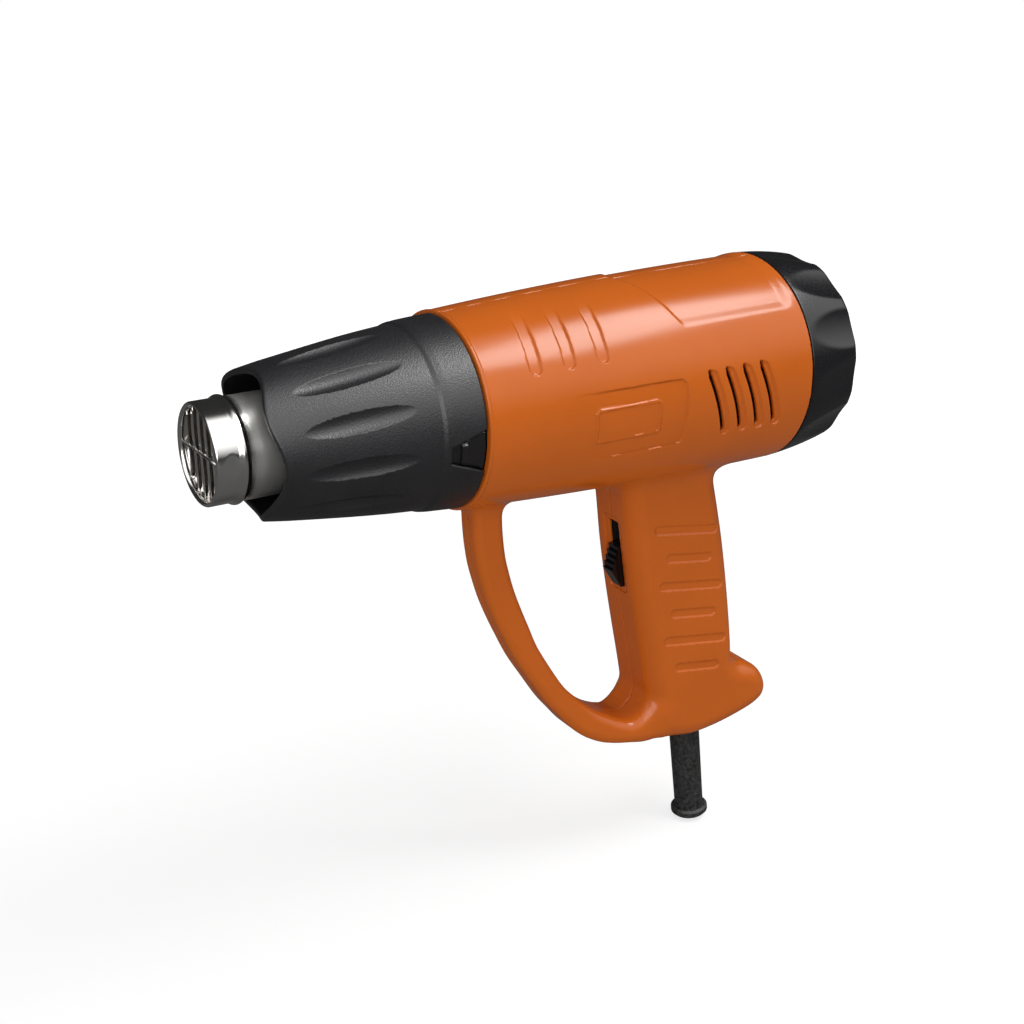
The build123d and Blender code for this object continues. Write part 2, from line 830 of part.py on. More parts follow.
def motor_magnets():
    """Two arc magnets against the can's wall."""
    outer = motor_radius - motor_wall - seat_gap
    inner = outer - magnet_thickness
    x0 = motor_front_x + (motor_length - armature_length) / 2
    band = ring(x0, x0 + armature_length, inner, outer)
    reach = motor_radius + overrun
    half = reach * sin(radians((180 - magnet_angle) / 2))
    sides = [block(0, duct_rear_x, 0, reach, -reach + half, reach - half),
             block(0, duct_rear_x, -reach, 0, -reach + half, reach - half)]
    gap = block(0, duct_rear_x, -half / 2, half / 2, -reach, reach)
    return Compound(children=[(band & side) - gap for side in sides])


def motor_bell():
    """Plastic end bell that closes the can and holds the front bush."""
    front = motor_front_x - bell_length + motor_wall
    wall = motor_wall
    cup = turned((
        (front, bush_radius + running_gap), (front + wall * 2, bush_radius + running_gap),
        (front + wall * 2, motor_radius - wall * 2), (motor_front_x, motor_radius - wall * 2),
        (motor_front_x, motor_radius), (front, motor_radius),
    ))
    return cup


def motor_bushes():
    """Sintered bushes in the end bell and the can's rear."""
    front = motor_front_x - bell_length + motor_wall
    rear = motor_front_x + motor_length
    bore = shaft_radius + running_gap
    return Compound(children=[
        ring(front - bush_length / 4, front + bush_length * 3 / 4, bore, bush_radius),
        ring(rear - bush_length * 3 / 4, rear + bush_length / 4, bore, bush_radius),
    ])


def motor_shaft():
    """Steel shaft through the motor into the fan's hub."""
    front = motor_front_x - bell_length - shaft_nose
    return disc(front, fan_x + fan_hub_length, shaft_radius)


def armature():
    """Slotted armature core on the shaft."""
    x0 = motor_front_x + (motor_length - armature_length) / 2
    core = ring(x0, x0 + armature_length, shaft_radius, armature_radius)
    slot = block(x0 - overrun, x0 + armature_length + overrun, -armature_slot_width / 2,
                 armature_slot_width / 2, armature_radius / 2, armature_radius + overrun)
    return core - [Rot(i * 360 / armature_slots, 0, 0) * slot for i in range(armature_slots)]


def commutator():
    """Copper commutator in front of the armature."""
    x1 = motor_front_x + (motor_length - armature_length) / 2
    return ring(x1 - commutator_length, x1, shaft_radius, commutator_radius)


def fan():
    """Axial fan: a hub with twisted blades lofted from root to tip."""
    hub = ring(fan_x, fan_x + fan_hub_length, shaft_radius, fan_hub_radius)
    mid = fan_x + fan_hub_length / 2

    def section(radius, angle):
        plane = Plane(origin=(mid, 0, radius), x_dir=(cos(radians(angle)), sin(radians(angle)), 0),
                      z_dir=(0, 0, 1))
        return plane * Rectangle(blade_chord, blade_thickness)

    root = fan_hub_radius - blade_thickness
    blade = loft([section(root, blade_root_angle), section(fan_radius + overrun, blade_tip_angle)])
    blade = blade & disc(fan_x - overrun, fan_x + fan_hub_length + overrun, fan_radius)
    bore = disc(fan_x - overrun, fan_x + fan_hub_length + overrun, shaft_radius)
    return hub + [Rot(i * 360 / fan_blades, 0, 0) * blade for i in range(fan_blades)] - bore


def rectifier():
    """Small board with rectifier diodes at the front of the motor."""
    front = motor_front_x - bell_length + motor_wall - bush_length / 4
    x1 = front - seat_gap
    x0 = x1 - board_thickness
    board = block(x0, x1, -board_height / 2, board_height / 2, -board_length / 2, board_length / 2)
    diodes = [
        Pos(x0 - diode_radius / 2, side * board_height / 4, 0) * Cylinder(diode_radius, diode_length)
        for side in (-1, 1)
    ]
    bore = disc(x0 - overrun, x1 + overrun, bush_radius)
    return board - bore + diodes


def intake_slots(x0, x1):
    """Cutters for the ring of radial intake slots."""
    band = ring(x0, x1, intake_inner_radius, intake_outer_radius)
    reach = intake_outer_radius + overrun
    half = radians(intake_angle / 2)
    wedge = make_face(Polyline((x0, 0, 0), (x0, -reach * sin(half), reach * cos(half)),
                               (x0, reach * sin(half), reach * cos(half)), close=True))
    slot = extrude(wedge, x1 - x0, dir=(1, 0, 0)) & band
    return [Rot(i * 360 / intake_count, 0, 0) * slot for i in range(intake_count)]


def intake_grille():
    """Fixed cup at the rear of the housing with radial slots and the cap's pivot."""
    floor_rear = cup_floor_x + cup_floor
    pivot_end = floor_rear + slide_gap + shutter_thickness + slide_gap
    cup = turned((
        (cup_flange_x, cup_radius - cup_wall), (cup_floor_x, cup_radius - cup_wall), (cup_floor_x, 0),
        (pivot_end, 0), (pivot_end, pivot_radius), (floor_rear, pivot_radius), (floor_rear, cup_radius),
        (cup_flange_x + cup_flange, cup_radius), (cup_flange_x + cup_flange, cup_flange_radius),
        (cup_flange_x, cup_flange_radius),
    ))
    hole = disc(cup_floor_x - overrun, pivot_end + overrun, screw_radius + running_gap)
    return cup - intake_slots(cup_floor_x - overrun, floor_rear + overrun) - hole


def pivot_screw():
    """Washer-head screw that keeps the rear cap on its pivot."""
    head_x = cup_floor_x + cup_floor + shutter_thickness + 2 * slide_gap
    shank = disc(cup_floor_x, head_x, screw_radius)
    head = disc(head_x, head_x + pivot_head, pivot_head_radius)
    slot = block(head_x + pivot_head / 2, head_x + pivot_head + overrun, -pivot_head_radius, pivot_head_radius,
                 -screw_radius / 3, screw_radius / 3)
    return shank + head - slot


def flute_cutter():
    """A leaning round cutter for one scallop in the cap's rear edge."""
    along, out = cap_shares[2]
    x = cap_front_x + along * cap_length
    radius = out * barrel_radius + flute_radius - flute_depth
    bar = Rot(0, 90, 0) * Cylinder(flute_radius, cap_length * 2)
    lean = Pos(0, 0, 0) * Rot(0, flute_angle, 0) * bar
    return Pos(x, 0, radius) * lean


def rear_cap():
    """Fluted cap that turns about the pivot and shutters the intake slots."""
    wall = cap_wall
    shutter_x = cup_floor_x + cup_floor + slide_gap
    outer = [(cap_front_x + a * cap_length, r * barrel_radius) for a, r in cap_shares]
    bore = cup_radius + slide_gap
    lip = cap_shares[-1][1] * barrel_radius - wall
    body = turned(
        [(cap_front_x, bore)] + outer
        + [(cap_rear_x, lip), (shutter_x + shutter_thickness, lip), (shutter_x + shutter_thickness, pivot_radius),
           (shutter_x, pivot_radius), (shutter_x, bore)]
    )
    flute = flute_cutter()
    step = 360 / flute_count
    body = body - [Rot((i + 1 / 2) * step, 0, 0) * flute for i in range(flute_count)]
    body = body - disc(shutter_x - overrun, cap_rear_x + overrun, pivot_radius + running_gap)
    return body - intake_slots(shutter_x - slide_gap / 2, shutter_x + shutter_thickness + slide_gap)


def switch_body():
    """Slide switch behind the window, with three blade terminals."""
    inner = shell_wall + switch_gap
    half = switch_length / 2
    body = block(inner, inner + switch_depth, -switch_width / 2, switch_width / 2, -half, half)
    groove = block(inner, inner + slider_plate + 2 * slide_gap, -window_width / 2 - slide_gap,
                   window_width / 2 + slide_gap, -half + slider_plate, half - slider_plate)
    tabs = [
        block(inner + switch_depth, inner + switch_depth + terminal_reach, -terminal_width / 2,
              terminal_width / 2, z - terminal_thickness / 2, z + terminal_thickness / 2)
        for z in (-half / 2, 0, half / 2)
    ]
    return switch_place() * (body - groove + tabs)


def switch_slider():
    """Black slide button: a stepped upper ramp, a sharp peak and a plain lower ramp."""
    low = -window_length / 2 + slide_gap
    high = low + button_length
    peak = low + button_peak_share * button_length
    foot = shell_wall + switch_gap + slide_gap
    points = [(foot, low), (-button_foot_rise, low), (-button_rise, peak)]
    step_length = (high - peak) / button_steps
    step_rise = (button_rise - button_foot_rise) / button_steps
    for i in range(button_steps):
        points.append((-button_rise + (i + 1) * step_rise, peak + i * step_length))
        points.append((-button_rise + (i + 1) * step_rise, peak + (i + 1) * step_length))
    points.append((foot, high))
    face = make_face(Polyline(*[(x, 0, z) for x, z in points], close=True))
    stem = extrude(face, window_width / 2 - slide_gap, dir=(0, 1, 0), both=True)
    plate = block(foot, foot + slider_plate, -window_width / 2, window_width / 2, low, high)
    return switch_place() * (stem + plate)


def strain_relief():
    """Rubber sleeve with a flange inside the foot and a collar at its end."""
    end = relief_length + relief_collar_length
    edge = relief_collar_length / 4
    return relief_turned((
        (-relief_neck - relief_flange, relief_bore), (-relief_neck - relief_flange, relief_flange_radius),
        (-relief_neck, relief_flange_radius), (-relief_neck, relief_top_radius),
        (0, relief_top_radius), (relief_length, relief_end_radius),
        (relief_length, relief_collar_radius - edge), (relief_length + edge, relief_collar_radius),
        (end - edge, relief_collar_radius), (end, relief_collar_radius - edge), (end, relief_bore),
    ))


def terminal_block():
    """Screw terminal block held between the shells' walls."""
    half = half_width - shell_wall - slide_gap
    body = block(block_x, block_x + block_length, -half, half, block_z, block_z + block_height)
    pitch = 2 * half / block_ways
    holes = []
    for i in range(block_ways):
        y = (i - (block_ways - 1) / 2) * pitch
        middle = block_x + block_length / 2
        holes.append(Pos(middle, y, block_z + block_height) * Cylinder(block_screw_radius, block_height))
    return body - holes


def cord_clamp():
    """Metal strap across the cord, on the left shell's posts."""
    x0 = clamp_x - clamp_length / 2
    strap = block(x0, x0 + clamp_length, -clamp_y, -clamp_y + clamp_thickness,
                  clamp_z - clamp_height / 2, clamp_z + clamp_height / 2)
    holes = [
        cross_pin(clamp_x + side * clamp_screw_share * clamp_length, clamp_z, -clamp_y - overrun,
                  -clamp_y + clamp_thickness + overrun, clamp_screw_radius + running_gap)
        for side in (-1, 1)
    ]
    return strap - holes


def clamp_screws():
    """Two screws through the cord clamp."""
    screws = []
    top = -clamp_y + clamp_thickness
    for side in (-1, 1):
        x = clamp_x + side * clamp_screw_share * clamp_length
        shank = cross_pin(x, clamp_z, -half_width + shell_wall + slide_gap, top, clamp_screw_radius)
        head = cross_pin(x, clamp_z, top, top + clamp_screw_radius, clamp_post_radius)
        screws.append(shank + head)
    return Compound(children=screws)


def build():
    """Every sub-part by its node name."""
    left, right = shells()
    return {
        "housing_left": left,
        "housing_right": right,
        "housing_screws": housing_screws(),
        "nozzle_tube": nozzle_tube(),
        "nozzle_grille": nozzle_grille(),
        "nozzle_guard": nozzle_guard(),
        "guard_collar": collar(),
        "heater_tube": heater_tube(),
        "heater_former": heater_former(),
        "heating_coil": heating_coil(),
        "heater_flange": heater_flange(),
        "thermal_cutout": thermal_cutout(),
        "fan_duct": duct(),
        "motor_can": motor_can(),
        "motor_magnets": motor_magnets(),
        "motor_end_bell": motor_bell(),
        "motor_bushes": motor_bushes(),
        "motor_shaft": motor_shaft(),
        "armature": armature(),
        "commutator": commutator(),
        "fan": fan(),
        "rectifier_board": rectifier(),
        "intake_grille": intake_grille(),
        "pivot_screw": pivot_screw(),
        "rear_cap": rear_cap(),
        "switch_body": switch_body(),
        "switch_slider": switch_slider(),
        "strain_relief": strain_relief(),
        "terminal_block": terminal_block(),
        "cord_clamp": cord_clamp(),
        "clamp_screws": clamp_screws(),
    }


for name, shape in build().items():
    export_step(shape, f"parts/{name}.step")
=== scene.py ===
import math

import bmesh
import bpy
import numpy as np
from mathutils import Matrix, Vector


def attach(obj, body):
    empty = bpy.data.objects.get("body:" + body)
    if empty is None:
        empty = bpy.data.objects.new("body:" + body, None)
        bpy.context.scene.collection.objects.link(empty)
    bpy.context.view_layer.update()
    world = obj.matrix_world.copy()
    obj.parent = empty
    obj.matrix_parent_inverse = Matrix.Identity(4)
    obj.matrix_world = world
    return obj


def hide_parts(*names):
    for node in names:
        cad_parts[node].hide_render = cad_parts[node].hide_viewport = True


# Pistol hot-air gun. Sizes are in millimetres and become metres where a mesh is
# made. The origin is the centre of the nozzle's mouth, +X runs to the rear, +Z is
# up and -Y is the left side. Angles round the barrel start at the left side and
# grow upwards.

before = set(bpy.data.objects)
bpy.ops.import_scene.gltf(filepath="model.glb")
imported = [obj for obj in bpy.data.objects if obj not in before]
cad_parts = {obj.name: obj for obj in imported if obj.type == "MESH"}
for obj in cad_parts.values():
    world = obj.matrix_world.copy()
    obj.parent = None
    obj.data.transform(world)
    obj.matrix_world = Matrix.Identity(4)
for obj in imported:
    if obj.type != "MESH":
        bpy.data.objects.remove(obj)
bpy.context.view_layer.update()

MM = 0.001

# Barrel of the housing
BARREL_FRONT = 91.0
BARREL_REAR = 228.5
BARREL_FRONT_RADIUS = 35.6
BARREL_SWELL = 9.88
BARREL_DROOP = 5.08
WALL = 2.5
EDGE = 0.5
INNER_EDGE = 0.4
LIP_LENGTH = 1.3
LIP_RISE = 0.35
LIP_SOFT = 0.7
LIP_FADE = (-40.0, 4.0)  # height, softness
BARREL_SKIN = 30.0
BARREL_LOW = (-33.0, 2.0)  # height, softness
BARREL_LOWEST = -43.0
FAR_INSIDE = -50.0
SKIN_FADE = 4.0

# Grip, seen from the side, in points (x, z)
GRIP_HALF_WIDTH = 15.0
GRIP_CORNER = 7.5
GRIP_OUTLINE = (
    (163.0, -26.0), (164.2, -40.0), (165.7, -53.0), (167.5, -69.0), (170.3, -87.0), (173.6, -105.0),
    (177.0, -122.5), (179.6, -137.0), (182.0, -147.0), (187.5, -152.2), (194.0, -154.1), (201.5, -155.0),
    (211.4, -154.3), (222.0, -152.4), (231.5, -149.8), (236.8, -146.4), (238.5, -141.6), (237.0, -136.6),
    (233.6, -132.4), (228.3, -129.4), (223.4, -127.6), (220.2, -124.0), (219.3, -116.0), (218.0, -105.0),
    (215.6, -88.0), (212.6, -70.0), (209.3, -54.0), (206.2, -40.0), (203.4, -26.0),
)
GRIP_JOIN = 7.5

# Loop bar, in rows (x, z, half width, half thickness, corner)
BAR_ROWS = (
    (107.8, -30.0, 6.5, 6.3, 3.2), (107.9, -40.0, 6.5, 6.25, 3.2), (108.3, -50.0, 6.5, 6.15, 3.2),
    (109.5, -60.0, 6.4, 6.1, 3.2), (111.4, -68.0, 6.3, 6.05, 3.2), (113.8, -76.0, 6.3, 5.95, 3.2),
    (116.9, -84.0, 6.3, 5.8, 3.2), (120.8, -93.0, 6.4, 5.5, 3.1), (125.0, -102.2, 6.5, 5.1, 3.0),
    (131.2, -112.6, 6.7, 4.8, 3.0), (137.6, -122.6, 7.0, 4.7, 3.0), (142.9, -128.9, 7.6, 4.95, 3.4),
    (148.5, -134.8, 8.5, 5.45, 3.7), (153.5, -139.0, 9.7, 5.7, 4.1), (159.2, -142.3, 11.0, 5.7, 4.5),
    (164.6, -144.3, 12.2, 5.3, 4.7), (170.0, -145.4, 13.3, 5.15, 5.0), (176.0, -145.1, 14.2, 7.0, 6.0),
    (182.0, -143.2, 14.5, 9.4, 6.8),
)
BAR_JOIN = 7.0
BAR_JOIN_FADE = (140.0, 30.0)  # x, softness
FOOT_JOIN = 5.0

# Details of the barrel
VENT_COUNT = 4
VENT_PITCH = 7.8
VENT_X = 185.2
VENT_Z = -1.7
VENT_LENGTH = 25.9
VENT_WIDTH = 1.7
VENT_LEAN = 19.0
VENT_RECESS = (3.9, 0.8, 1.1)  # width, depth, shift
VENT_SOFT = 0.7
VENT_EDGE = 0.35
VENT_INNER = 25.0
LABEL = (146.5, -3.4, 49.0, 25.0)  # x, z, length, height
LABEL_CORNER = 3.0
LABEL_DEPTH = 0.6
LABEL_SOFT = 0.4
LABEL_FADE = 14.0
PLATE = (146.3, -3.2, 26.5, 12.0)  # x, z, length, height
PLATE_CORNER = 1.6
PLATE_RISE = 0.5
PLATE_LINE = 0.45
PLATE_SOFT = 0.45
GROOVE_COUNT = 3
GROOVE_X = 112.8
GROOVE_PITCH = 13.4
GROOVE_ANGLES = (32.5, 69.0)
GROOVE_WIDTH = 4.5
GROOVE_DEPTH = 0.7
GROOVE_SOFT = 0.6
GROOVE_FADE = (6.0, 12.0)  # inset, length
GROOVE_LEAN = 5.0

# Flat along the barrel's top: (angle, slope, offset, softness) of its wedge and
# (angle in radians, slope, softness) of its flare
SCOOP_X = (170.5, 223.5)
SCOOP_DEPTH = 0.75
SCOOP_ANGLE = 43.0
SCOOP_WEDGE = (56.0, 14.0, 0.8, 1.8)
SCOOP_FLARE = (0.8, 2.0, 5.5)
SCOOP_RADIUS = 40.0
SCOOP_SOFT = 5.5

# Details of the grip
BAR_MARK_COUNT = 6
BAR_MARK_START = (191.6, -61.2)
BAR_MARK_STEP = (1.55, -12.1)
BAR_MARK_LENGTHS = (31.0, 22.0)
BAR_MARK_HEIGHT = 3.4
BAR_MARK_DEPTH = 0.6
BAR_MARK_SOFT = 0.9
BAR_MARK_TOP = (-50.0, 3.0)  # height, softness
BAR_MARK_SIDE = (8.0, 1.0)  # half width, softness
BAR_MARK_TILT = -9.5
SWITCH_PLACE = (167.96, -71.0)
SWITCH_LEAN = 8.1
WINDOW = (6.6, 28.1)  # width, length
WINDOW_CORNERS = (0.8, 2.4)  # of the hole, of its frame
WINDOW_FRAME = 2.2
WINDOW_FRAME_DEPTH = 0.8
WINDOW_FRAME_EDGE = 0.5
WINDOW_REACH = 8.0
WINDOW_BEHIND = 2.0
PARTING = 0.02
SEAM = 0.4
RELIEF_PLACE = (204.6, -153.4)
RELIEF_LEAN = 6.3
RELIEF_RADIUS = 6.45
RELIEF_DEPTH = 4.0
RELIEF_EDGE = 0.8
SCREWS = (
    (104.0, 29.0), (104.0, -29.0), (152.0, 31.0), (194.0, -47.45), (211.0, -117.04), (159.46, -141.78),
)
SCREW_SEAT = 5.0
SCREW_HOLE = 3.3
SCREW_BOSS = 4.8

# Nozzle guard
GUARD_REAR = 90.5
GUARD_NOSE = (20.0, 26.2)  # x, radius
GUARD_FLARE = (53.0, 9.0, 2.4)  # length, flare, droop
GUARD_WALL = 2.2
GUARD_EDGE = 0.6
GUARD_RIM_EDGE = 1.1
GUARD_WAVES = 4
GUARD_SLOPE = 0.97
GUARD_WAVE = (18.7, 2.0, 36.0)  # middle, depth, angle
GUARD_STEP = (75.3, 0.55, 1.6)  # x, rise, softness
GUARD_TAPER = 0.085
GUARD_INNER_END = 75.0
GUARD_BORE = (76.5, 32.6)  # x, radius
DIMPLES = 12
DIMPLE_X = 47.0
DIMPLE_SIZE = (39.0, 7.2)  # length, width
DIMPLE_DEPTH = 1.45
DIMPLE_ANGLE = -8.5
DIMPLE_INNER = (20.0, 2.0)  # radius, softness
DIMPLE_LEAN = 2.5
NOTCHES = 3
NOTCH_ANGLE = -8.6
NOTCH_FRONT = 77.5
NOTCH_HALF = (3.0, 7.9)  # at the floor, at the mouth
NOTCH_INNER = 25.0
NOTCH_EDGE = 0.7

# Rear cap
CAP_FRONT = 229.1
CAP_REAR = 254.4
CAP_RADII = (40.3, 36.6)  # front, rear
CAP_SWELL = 0.7
CAP_SLOPE = 0.98
CAP_EDGE = 2.88
CAP_INNER_EDGE = 0.5
CAP_BORE = 33.9
CAP_DISC = (246.7, 248.9)  # front, rear
CAP_DISH = 31.4
CAP_PIVOT = 4.05
FLUTES = 12
FLUTE_RADIUS = 33.0
FLUTE_DEPTH = 1.6
FLUTE_ANGLE = 12.5
FLUTE_START = -5.0
FLUTE_EDGE = 0.35
SLOT_RADII = (10.0, 29.0)  # inner, outer
SLOT_ANGLE = 6.5
SLOT_START = 90.0

# Nozzle
NOZZLE_RADIUS = 17.7
NOZZLE_WALL = 0.8
NOZZLE_LENGTH = 96.0
NOZZLE_LIP = (1.8, 0.9)  # reach inwards, radius of the roll
NOZZLE_DULL = (12.0, 14.0)  # start, end
NOZZLE_SEGMENTS = 160
LIP_ARC = (90, 200, 10)  # start and end angle, steps
PLAIN_STEPS = 20
BEAD_STEPS = 16
BEAD = (8.0, 4.0, 0.95)  # start, width, height
BEAD_TAIL = 4.0
BEAD_POWER = 1.3
DENT = (5.5, 5.4, 7.6, 0.35)  # x, length, height, depth
SLATS = 5
SLAT_PITCH = 5.5
SLAT_FRONT = 1.5
SLAT_DEPTH = 5.0
SLAT_THICKNESS = 0.8
SLAT_BEAD = 0.95
SLAT_BOW = 0.5
SLAT_WAVE = 0.55
SLAT_STEPS = (14, 12, 6)  # from front to rear, upwards, round the nose
SLAT_SEAT = 0.3
GRILLE_RING = 0.6
GRILLE_GAP = 0.15
GRILLE_SEGMENTS = 120
WIRE_RADIUS = 0.6
WIRE_FORWARD = 0.2
WIRE_SIDES = 12

# Collar behind the guard
COLLAR_FRONT = 76.9
COLLAR_WEB = (93.5, 96.5)  # front, rear
COLLAR_RADIUS = 32.3
COLLAR_WALL = 2.0
COLLAR_SLEEVE = (84.5, 17.8, 19.7)  # front, inner radius, outer radius
COLLAR_FLANGE = 32.6
LUG_FRONT = 81.2
LUG_GAP = 0.6
LUG_SINK = 1.0
LUG_RIDGE = (82.6, 2.6, 7.0, 0.8)  # x, length, width, rise
LUG_RIDGE_SHAPE = (0.6, 0.8)  # corner, softness
LUG_DIP = (86.5, 2.2, 3.0, 0.9)  # x, half length, softness, depth
LUG_JOIN = 0.8

# Grid steps of the meshes, and shares of a step that settle their points
SHELL_STEP = 0.7
GUARD_MESH_STEP = 0.45
CAP_MESH_STEP = 0.6
COLLAR_MESH_STEP = 0.5
SLOPE_REACH = 0.2
NORMAL_REACH = 0.25
LARGEST_MOVE = 0.5
LEAST_SLOPE = 0.25

# Camera, lamps, surroundings and floor
CAMERA_PLACE = (-186.131, -504.260, 180.689)
CAMERA_RIGHT = (0.853435, -0.521191, -0.002922)
CAMERA_UP = (0.187958, 0.302537, 0.934421)
CAMERA_LOOK = (0.486128, 0.798017, -0.356158)
CAMERA_LENS = 59.77
FLOOR_Z = -200.4
FLOOR_REACH = 6000.0
WORLD_LEVEL = 0.40
PANEL_LEVELS = (0.03, 1.9)  # outside, inside
PANEL_HIGH = (0.05, 0.45)  # of the direction upwards
PANEL_NEAR = (0.14, -0.06)  # of the direction across
LAMPS = (  # name, place, aim, size, power
    ("key", (855, -420, 1260), (150, 0, -20), (900, 480), 12.5),
    ("fill", (-700, -1150, 520), (150, 0, -60), (1100, 1000), 9.0),
)
FLOOR_GLOW = 2.35
FLOOR_GLOW_SHARE = 0.3
FLOOR_COLOUR = 0.55
# The floor's colour in reflections: painted shade, darker than the floor itself, so that undersides reflect a
# dark floor
FLOOR_PAINTED_REFLECTION_SHADE = 0.12
FLOOR_FADE = (350.0, 1200.0)  # start, end
FLOOR_MIDDLE = (170.0, 0.0)


# Soft comparisons of distances, which round the edges where two forms meet

def soft_min(a, b, k):
    """Smaller of two distances, with the inner corner filled over a length k."""
    h = np.clip(0.5 + 0.5 * (b - a) / k, 0.0, 1.0)
    return b + (a - b) * h - k * h * (1.0 - h)


def soft_max(a, b, k):
    """Larger of two distances, with the outer corner rounded over a length k."""
    return -soft_min(-a, -b, k)


def ramp(distance, soft):
    """1 well inside an outline, 0 outside, with a smooth step of width soft between."""
    t = np.clip(0.5 - distance / soft, 0.0, 1.0)
    return t * t * (3.0 - 2.0 * t)


def rounded(a, b, corner):
    """Distance to two faces at right angles with a rounded edge, from the distances to its middle line."""
    outside = np.sqrt(np.maximum(a, 0.0) ** 2 + np.maximum(b, 0.0) ** 2)
    return outside + np.minimum(np.maximum(a, b), 0.0) - corner


def round_box(u, v, half_u, half_v, corner):
    """Distance to a rectangle with rounded corners."""
    return rounded(np.abs(u) - (half_u - corner), np.abs(v) - (half_v - corner), corner)


def capsule(u, v, length, width):
    """Distance to a round-ended slot that runs along v."""
    reach = (length - width) / 2
    v = v - np.clip(v, -reach, reach)
    return np.sqrt(u * u + v * v) - width / 2


def turned(u, v, degrees):
    """Coordinates seen in axes turned by an angle."""
    c = math.cos(math.radians(degrees))
    s = math.sin(math.radians(degrees))
    return u * c + v * s, v * c - u * s


def polar(y, z):
    """Radius and angle round the barrel's axis."""
    return np.sqrt(y * y + z * z), np.arctan2(z, -y)


def sector(angle, count, start):
    """Angle measured from the middle of the nearest of several equal sectors."""
    step = 2 * math.pi / count
    shifted = angle - math.radians(start) + step / 2
    return shifted - step * np.floor(shifted / step) - step / 2


# Curves through points

def smooth_rows(rows, per_span, closed):
    """Rows of numbers along a smooth curve through the given rows."""
    rows = np.array(rows, float)
    n = len(rows)
    spans = n if closed else n - 1
    out = []
    for i in range(spans):
        if closed:
            p0, p1, p2, p3 = rows[(i - 1) % n], rows[i], rows[(i + 1) % n], rows[(i + 2) % n]
        else:
            p0, p1, p2, p3 = rows[max(i - 1, 0)], rows[i], rows[i + 1], rows[min(i + 2, n - 1)]
        for t in np.arange(per_span) / per_span:
            out.append(0.5 * (2 * p1 + (p2 - p0) * t + (2 * p0 - 5 * p1 + 4 * p2 - p3) * t ** 2
                              + (3 * p1 - p0 - 3 * p2 + p3) * t ** 3))
    if not closed:
        out.append(rows[-1])
    return np.array(out)


class PlaneMap:
    """Values on a regular grid of the middle plane, read smoothly between its points."""

    def __init__(self, low, high, step):
        self.low = low
        self.step = step
        self.x = np.arange(low[0], high[0] + step, step)
        self.z = np.arange(low[1], high[1] + step, step)
        self.layers = []

    def grid(self):
        return np.meshgrid(self.x, self.z, indexing="ij")

    def read(self, x, z):
        """Every layer's value at the places (x, z)."""
        u = np.clip((x - self.low[0]) / self.step, 0, len(self.x) - 1.001)
        v = np.clip((z - self.low[1]) / self.step, 0, len(self.z) - 1.001)
        i = u.astype(int)
        j = v.astype(int)
        a = u - i
        b = v - j
        values = []
        for layer in self.layers:
            near = layer[i, j] * (1 - a) + layer[i + 1, j] * a
            far = layer[i, j + 1] * (1 - a) + layer[i + 1, j + 1] * a
            values.append(near * (1 - b) + far * b)
        return values


def outline_map(points, low, high, step):
    """Signed distance to a closed outline in the middle plane."""
    plane = PlaneMap(low, high, step)
    gx, gz = plane.grid()
    nearest = np.full(gx.shape, 1e9)
    inside = np.zeros(gx.shape, bool)
    for (x0, z0), (x1, z1) in zip(points, np.roll(points, -1, axis=0)):
        dx, dz = x1 - x0, z1 - z0
        t = np.clip(((gx - x0) * dx + (gz - z0) * dz) / (dx * dx + dz * dz), 0, 1)
        nearest = np.minimum(nearest, (gx - x0 - t * dx) ** 2 + (gz - z0 - t * dz) ** 2)
        if dz:
            crosses = ((z0 > gz) != (z1 > gz)) & (gx < x0 + dx * (gz - z0) / dz)
            inside ^= crosses
    distance = np.sqrt(nearest)
    plane.layers = [np.where(inside, -distance, distance)]
    return plane


def spine_map(rows, low, high, step):
    """Distance to a bar's middle line and its size there: half width, half thickness, corner."""
    plane = PlaneMap(low, high, step)
    gx, gz = plane.grid()
    nearest = np.full(gx.shape, 1e9)
    sizes = [np.zeros(gx.shape) for _ in range(3)]
    for row, following in zip(rows[:-1], rows[1:]):
        dx, dz = following[0] - row[0], following[1] - row[1]
        t = np.clip(((gx - row[0]) * dx + (gz - row[1]) * dz) / (dx * dx + dz * dz), 0, 1)
        squared = (gx - row[0] - t * dx) ** 2 + (gz - row[1] - t * dz) ** 2
        better = squared < nearest
        nearest = np.where(better, squared, nearest)
        for k in range(3):
            value = row[2 + k] + t * (following[2 + k] - row[2 + k])
            sizes[k] = np.where(better, value, sizes[k])
    plane.layers = [np.sqrt(nearest)] + sizes
    return plane


MAP_LOW = (90.0, -166.0)
MAP_HIGH = (245.0, -10.0)
MAP_STEP = 0.5
grip_plane = outline_map(smooth_rows(GRIP_OUTLINE, 5, True), MAP_LOW, MAP_HIGH, MAP_STEP)
bar_plane = spine_map(smooth_rows(BAR_ROWS, 6, False), MAP_LOW, MAP_HIGH, MAP_STEP)


# Housing

def barrel_radius(x):
    """Radius of the swelling barrel."""
    t = np.clip((x - BARREL_FRONT) / (BARREL_REAR - BARREL_FRONT), -0.2, 1.2)
    return BARREL_FRONT_RADIUS + BARREL_SWELL * t - BARREL_DROOP * t * t


def grip_field(x, y, z):
    """Distance to the grip, a flat-sided form with rounded long edges."""
    side, = grip_plane.read(x, z)
    return rounded(side + GRIP_CORNER, np.abs(y) - (GRIP_HALF_WIDTH - GRIP_CORNER), GRIP_CORNER)


def bar_field(x, y, z):
    """Distance to the loop bar, a rounded rectangle along its middle line."""
    away, half_width, half_thickness, corner = bar_plane.read(x, z)
    return rounded(away - (half_thickness - corner), np.abs(y) - (half_width - corner), corner)


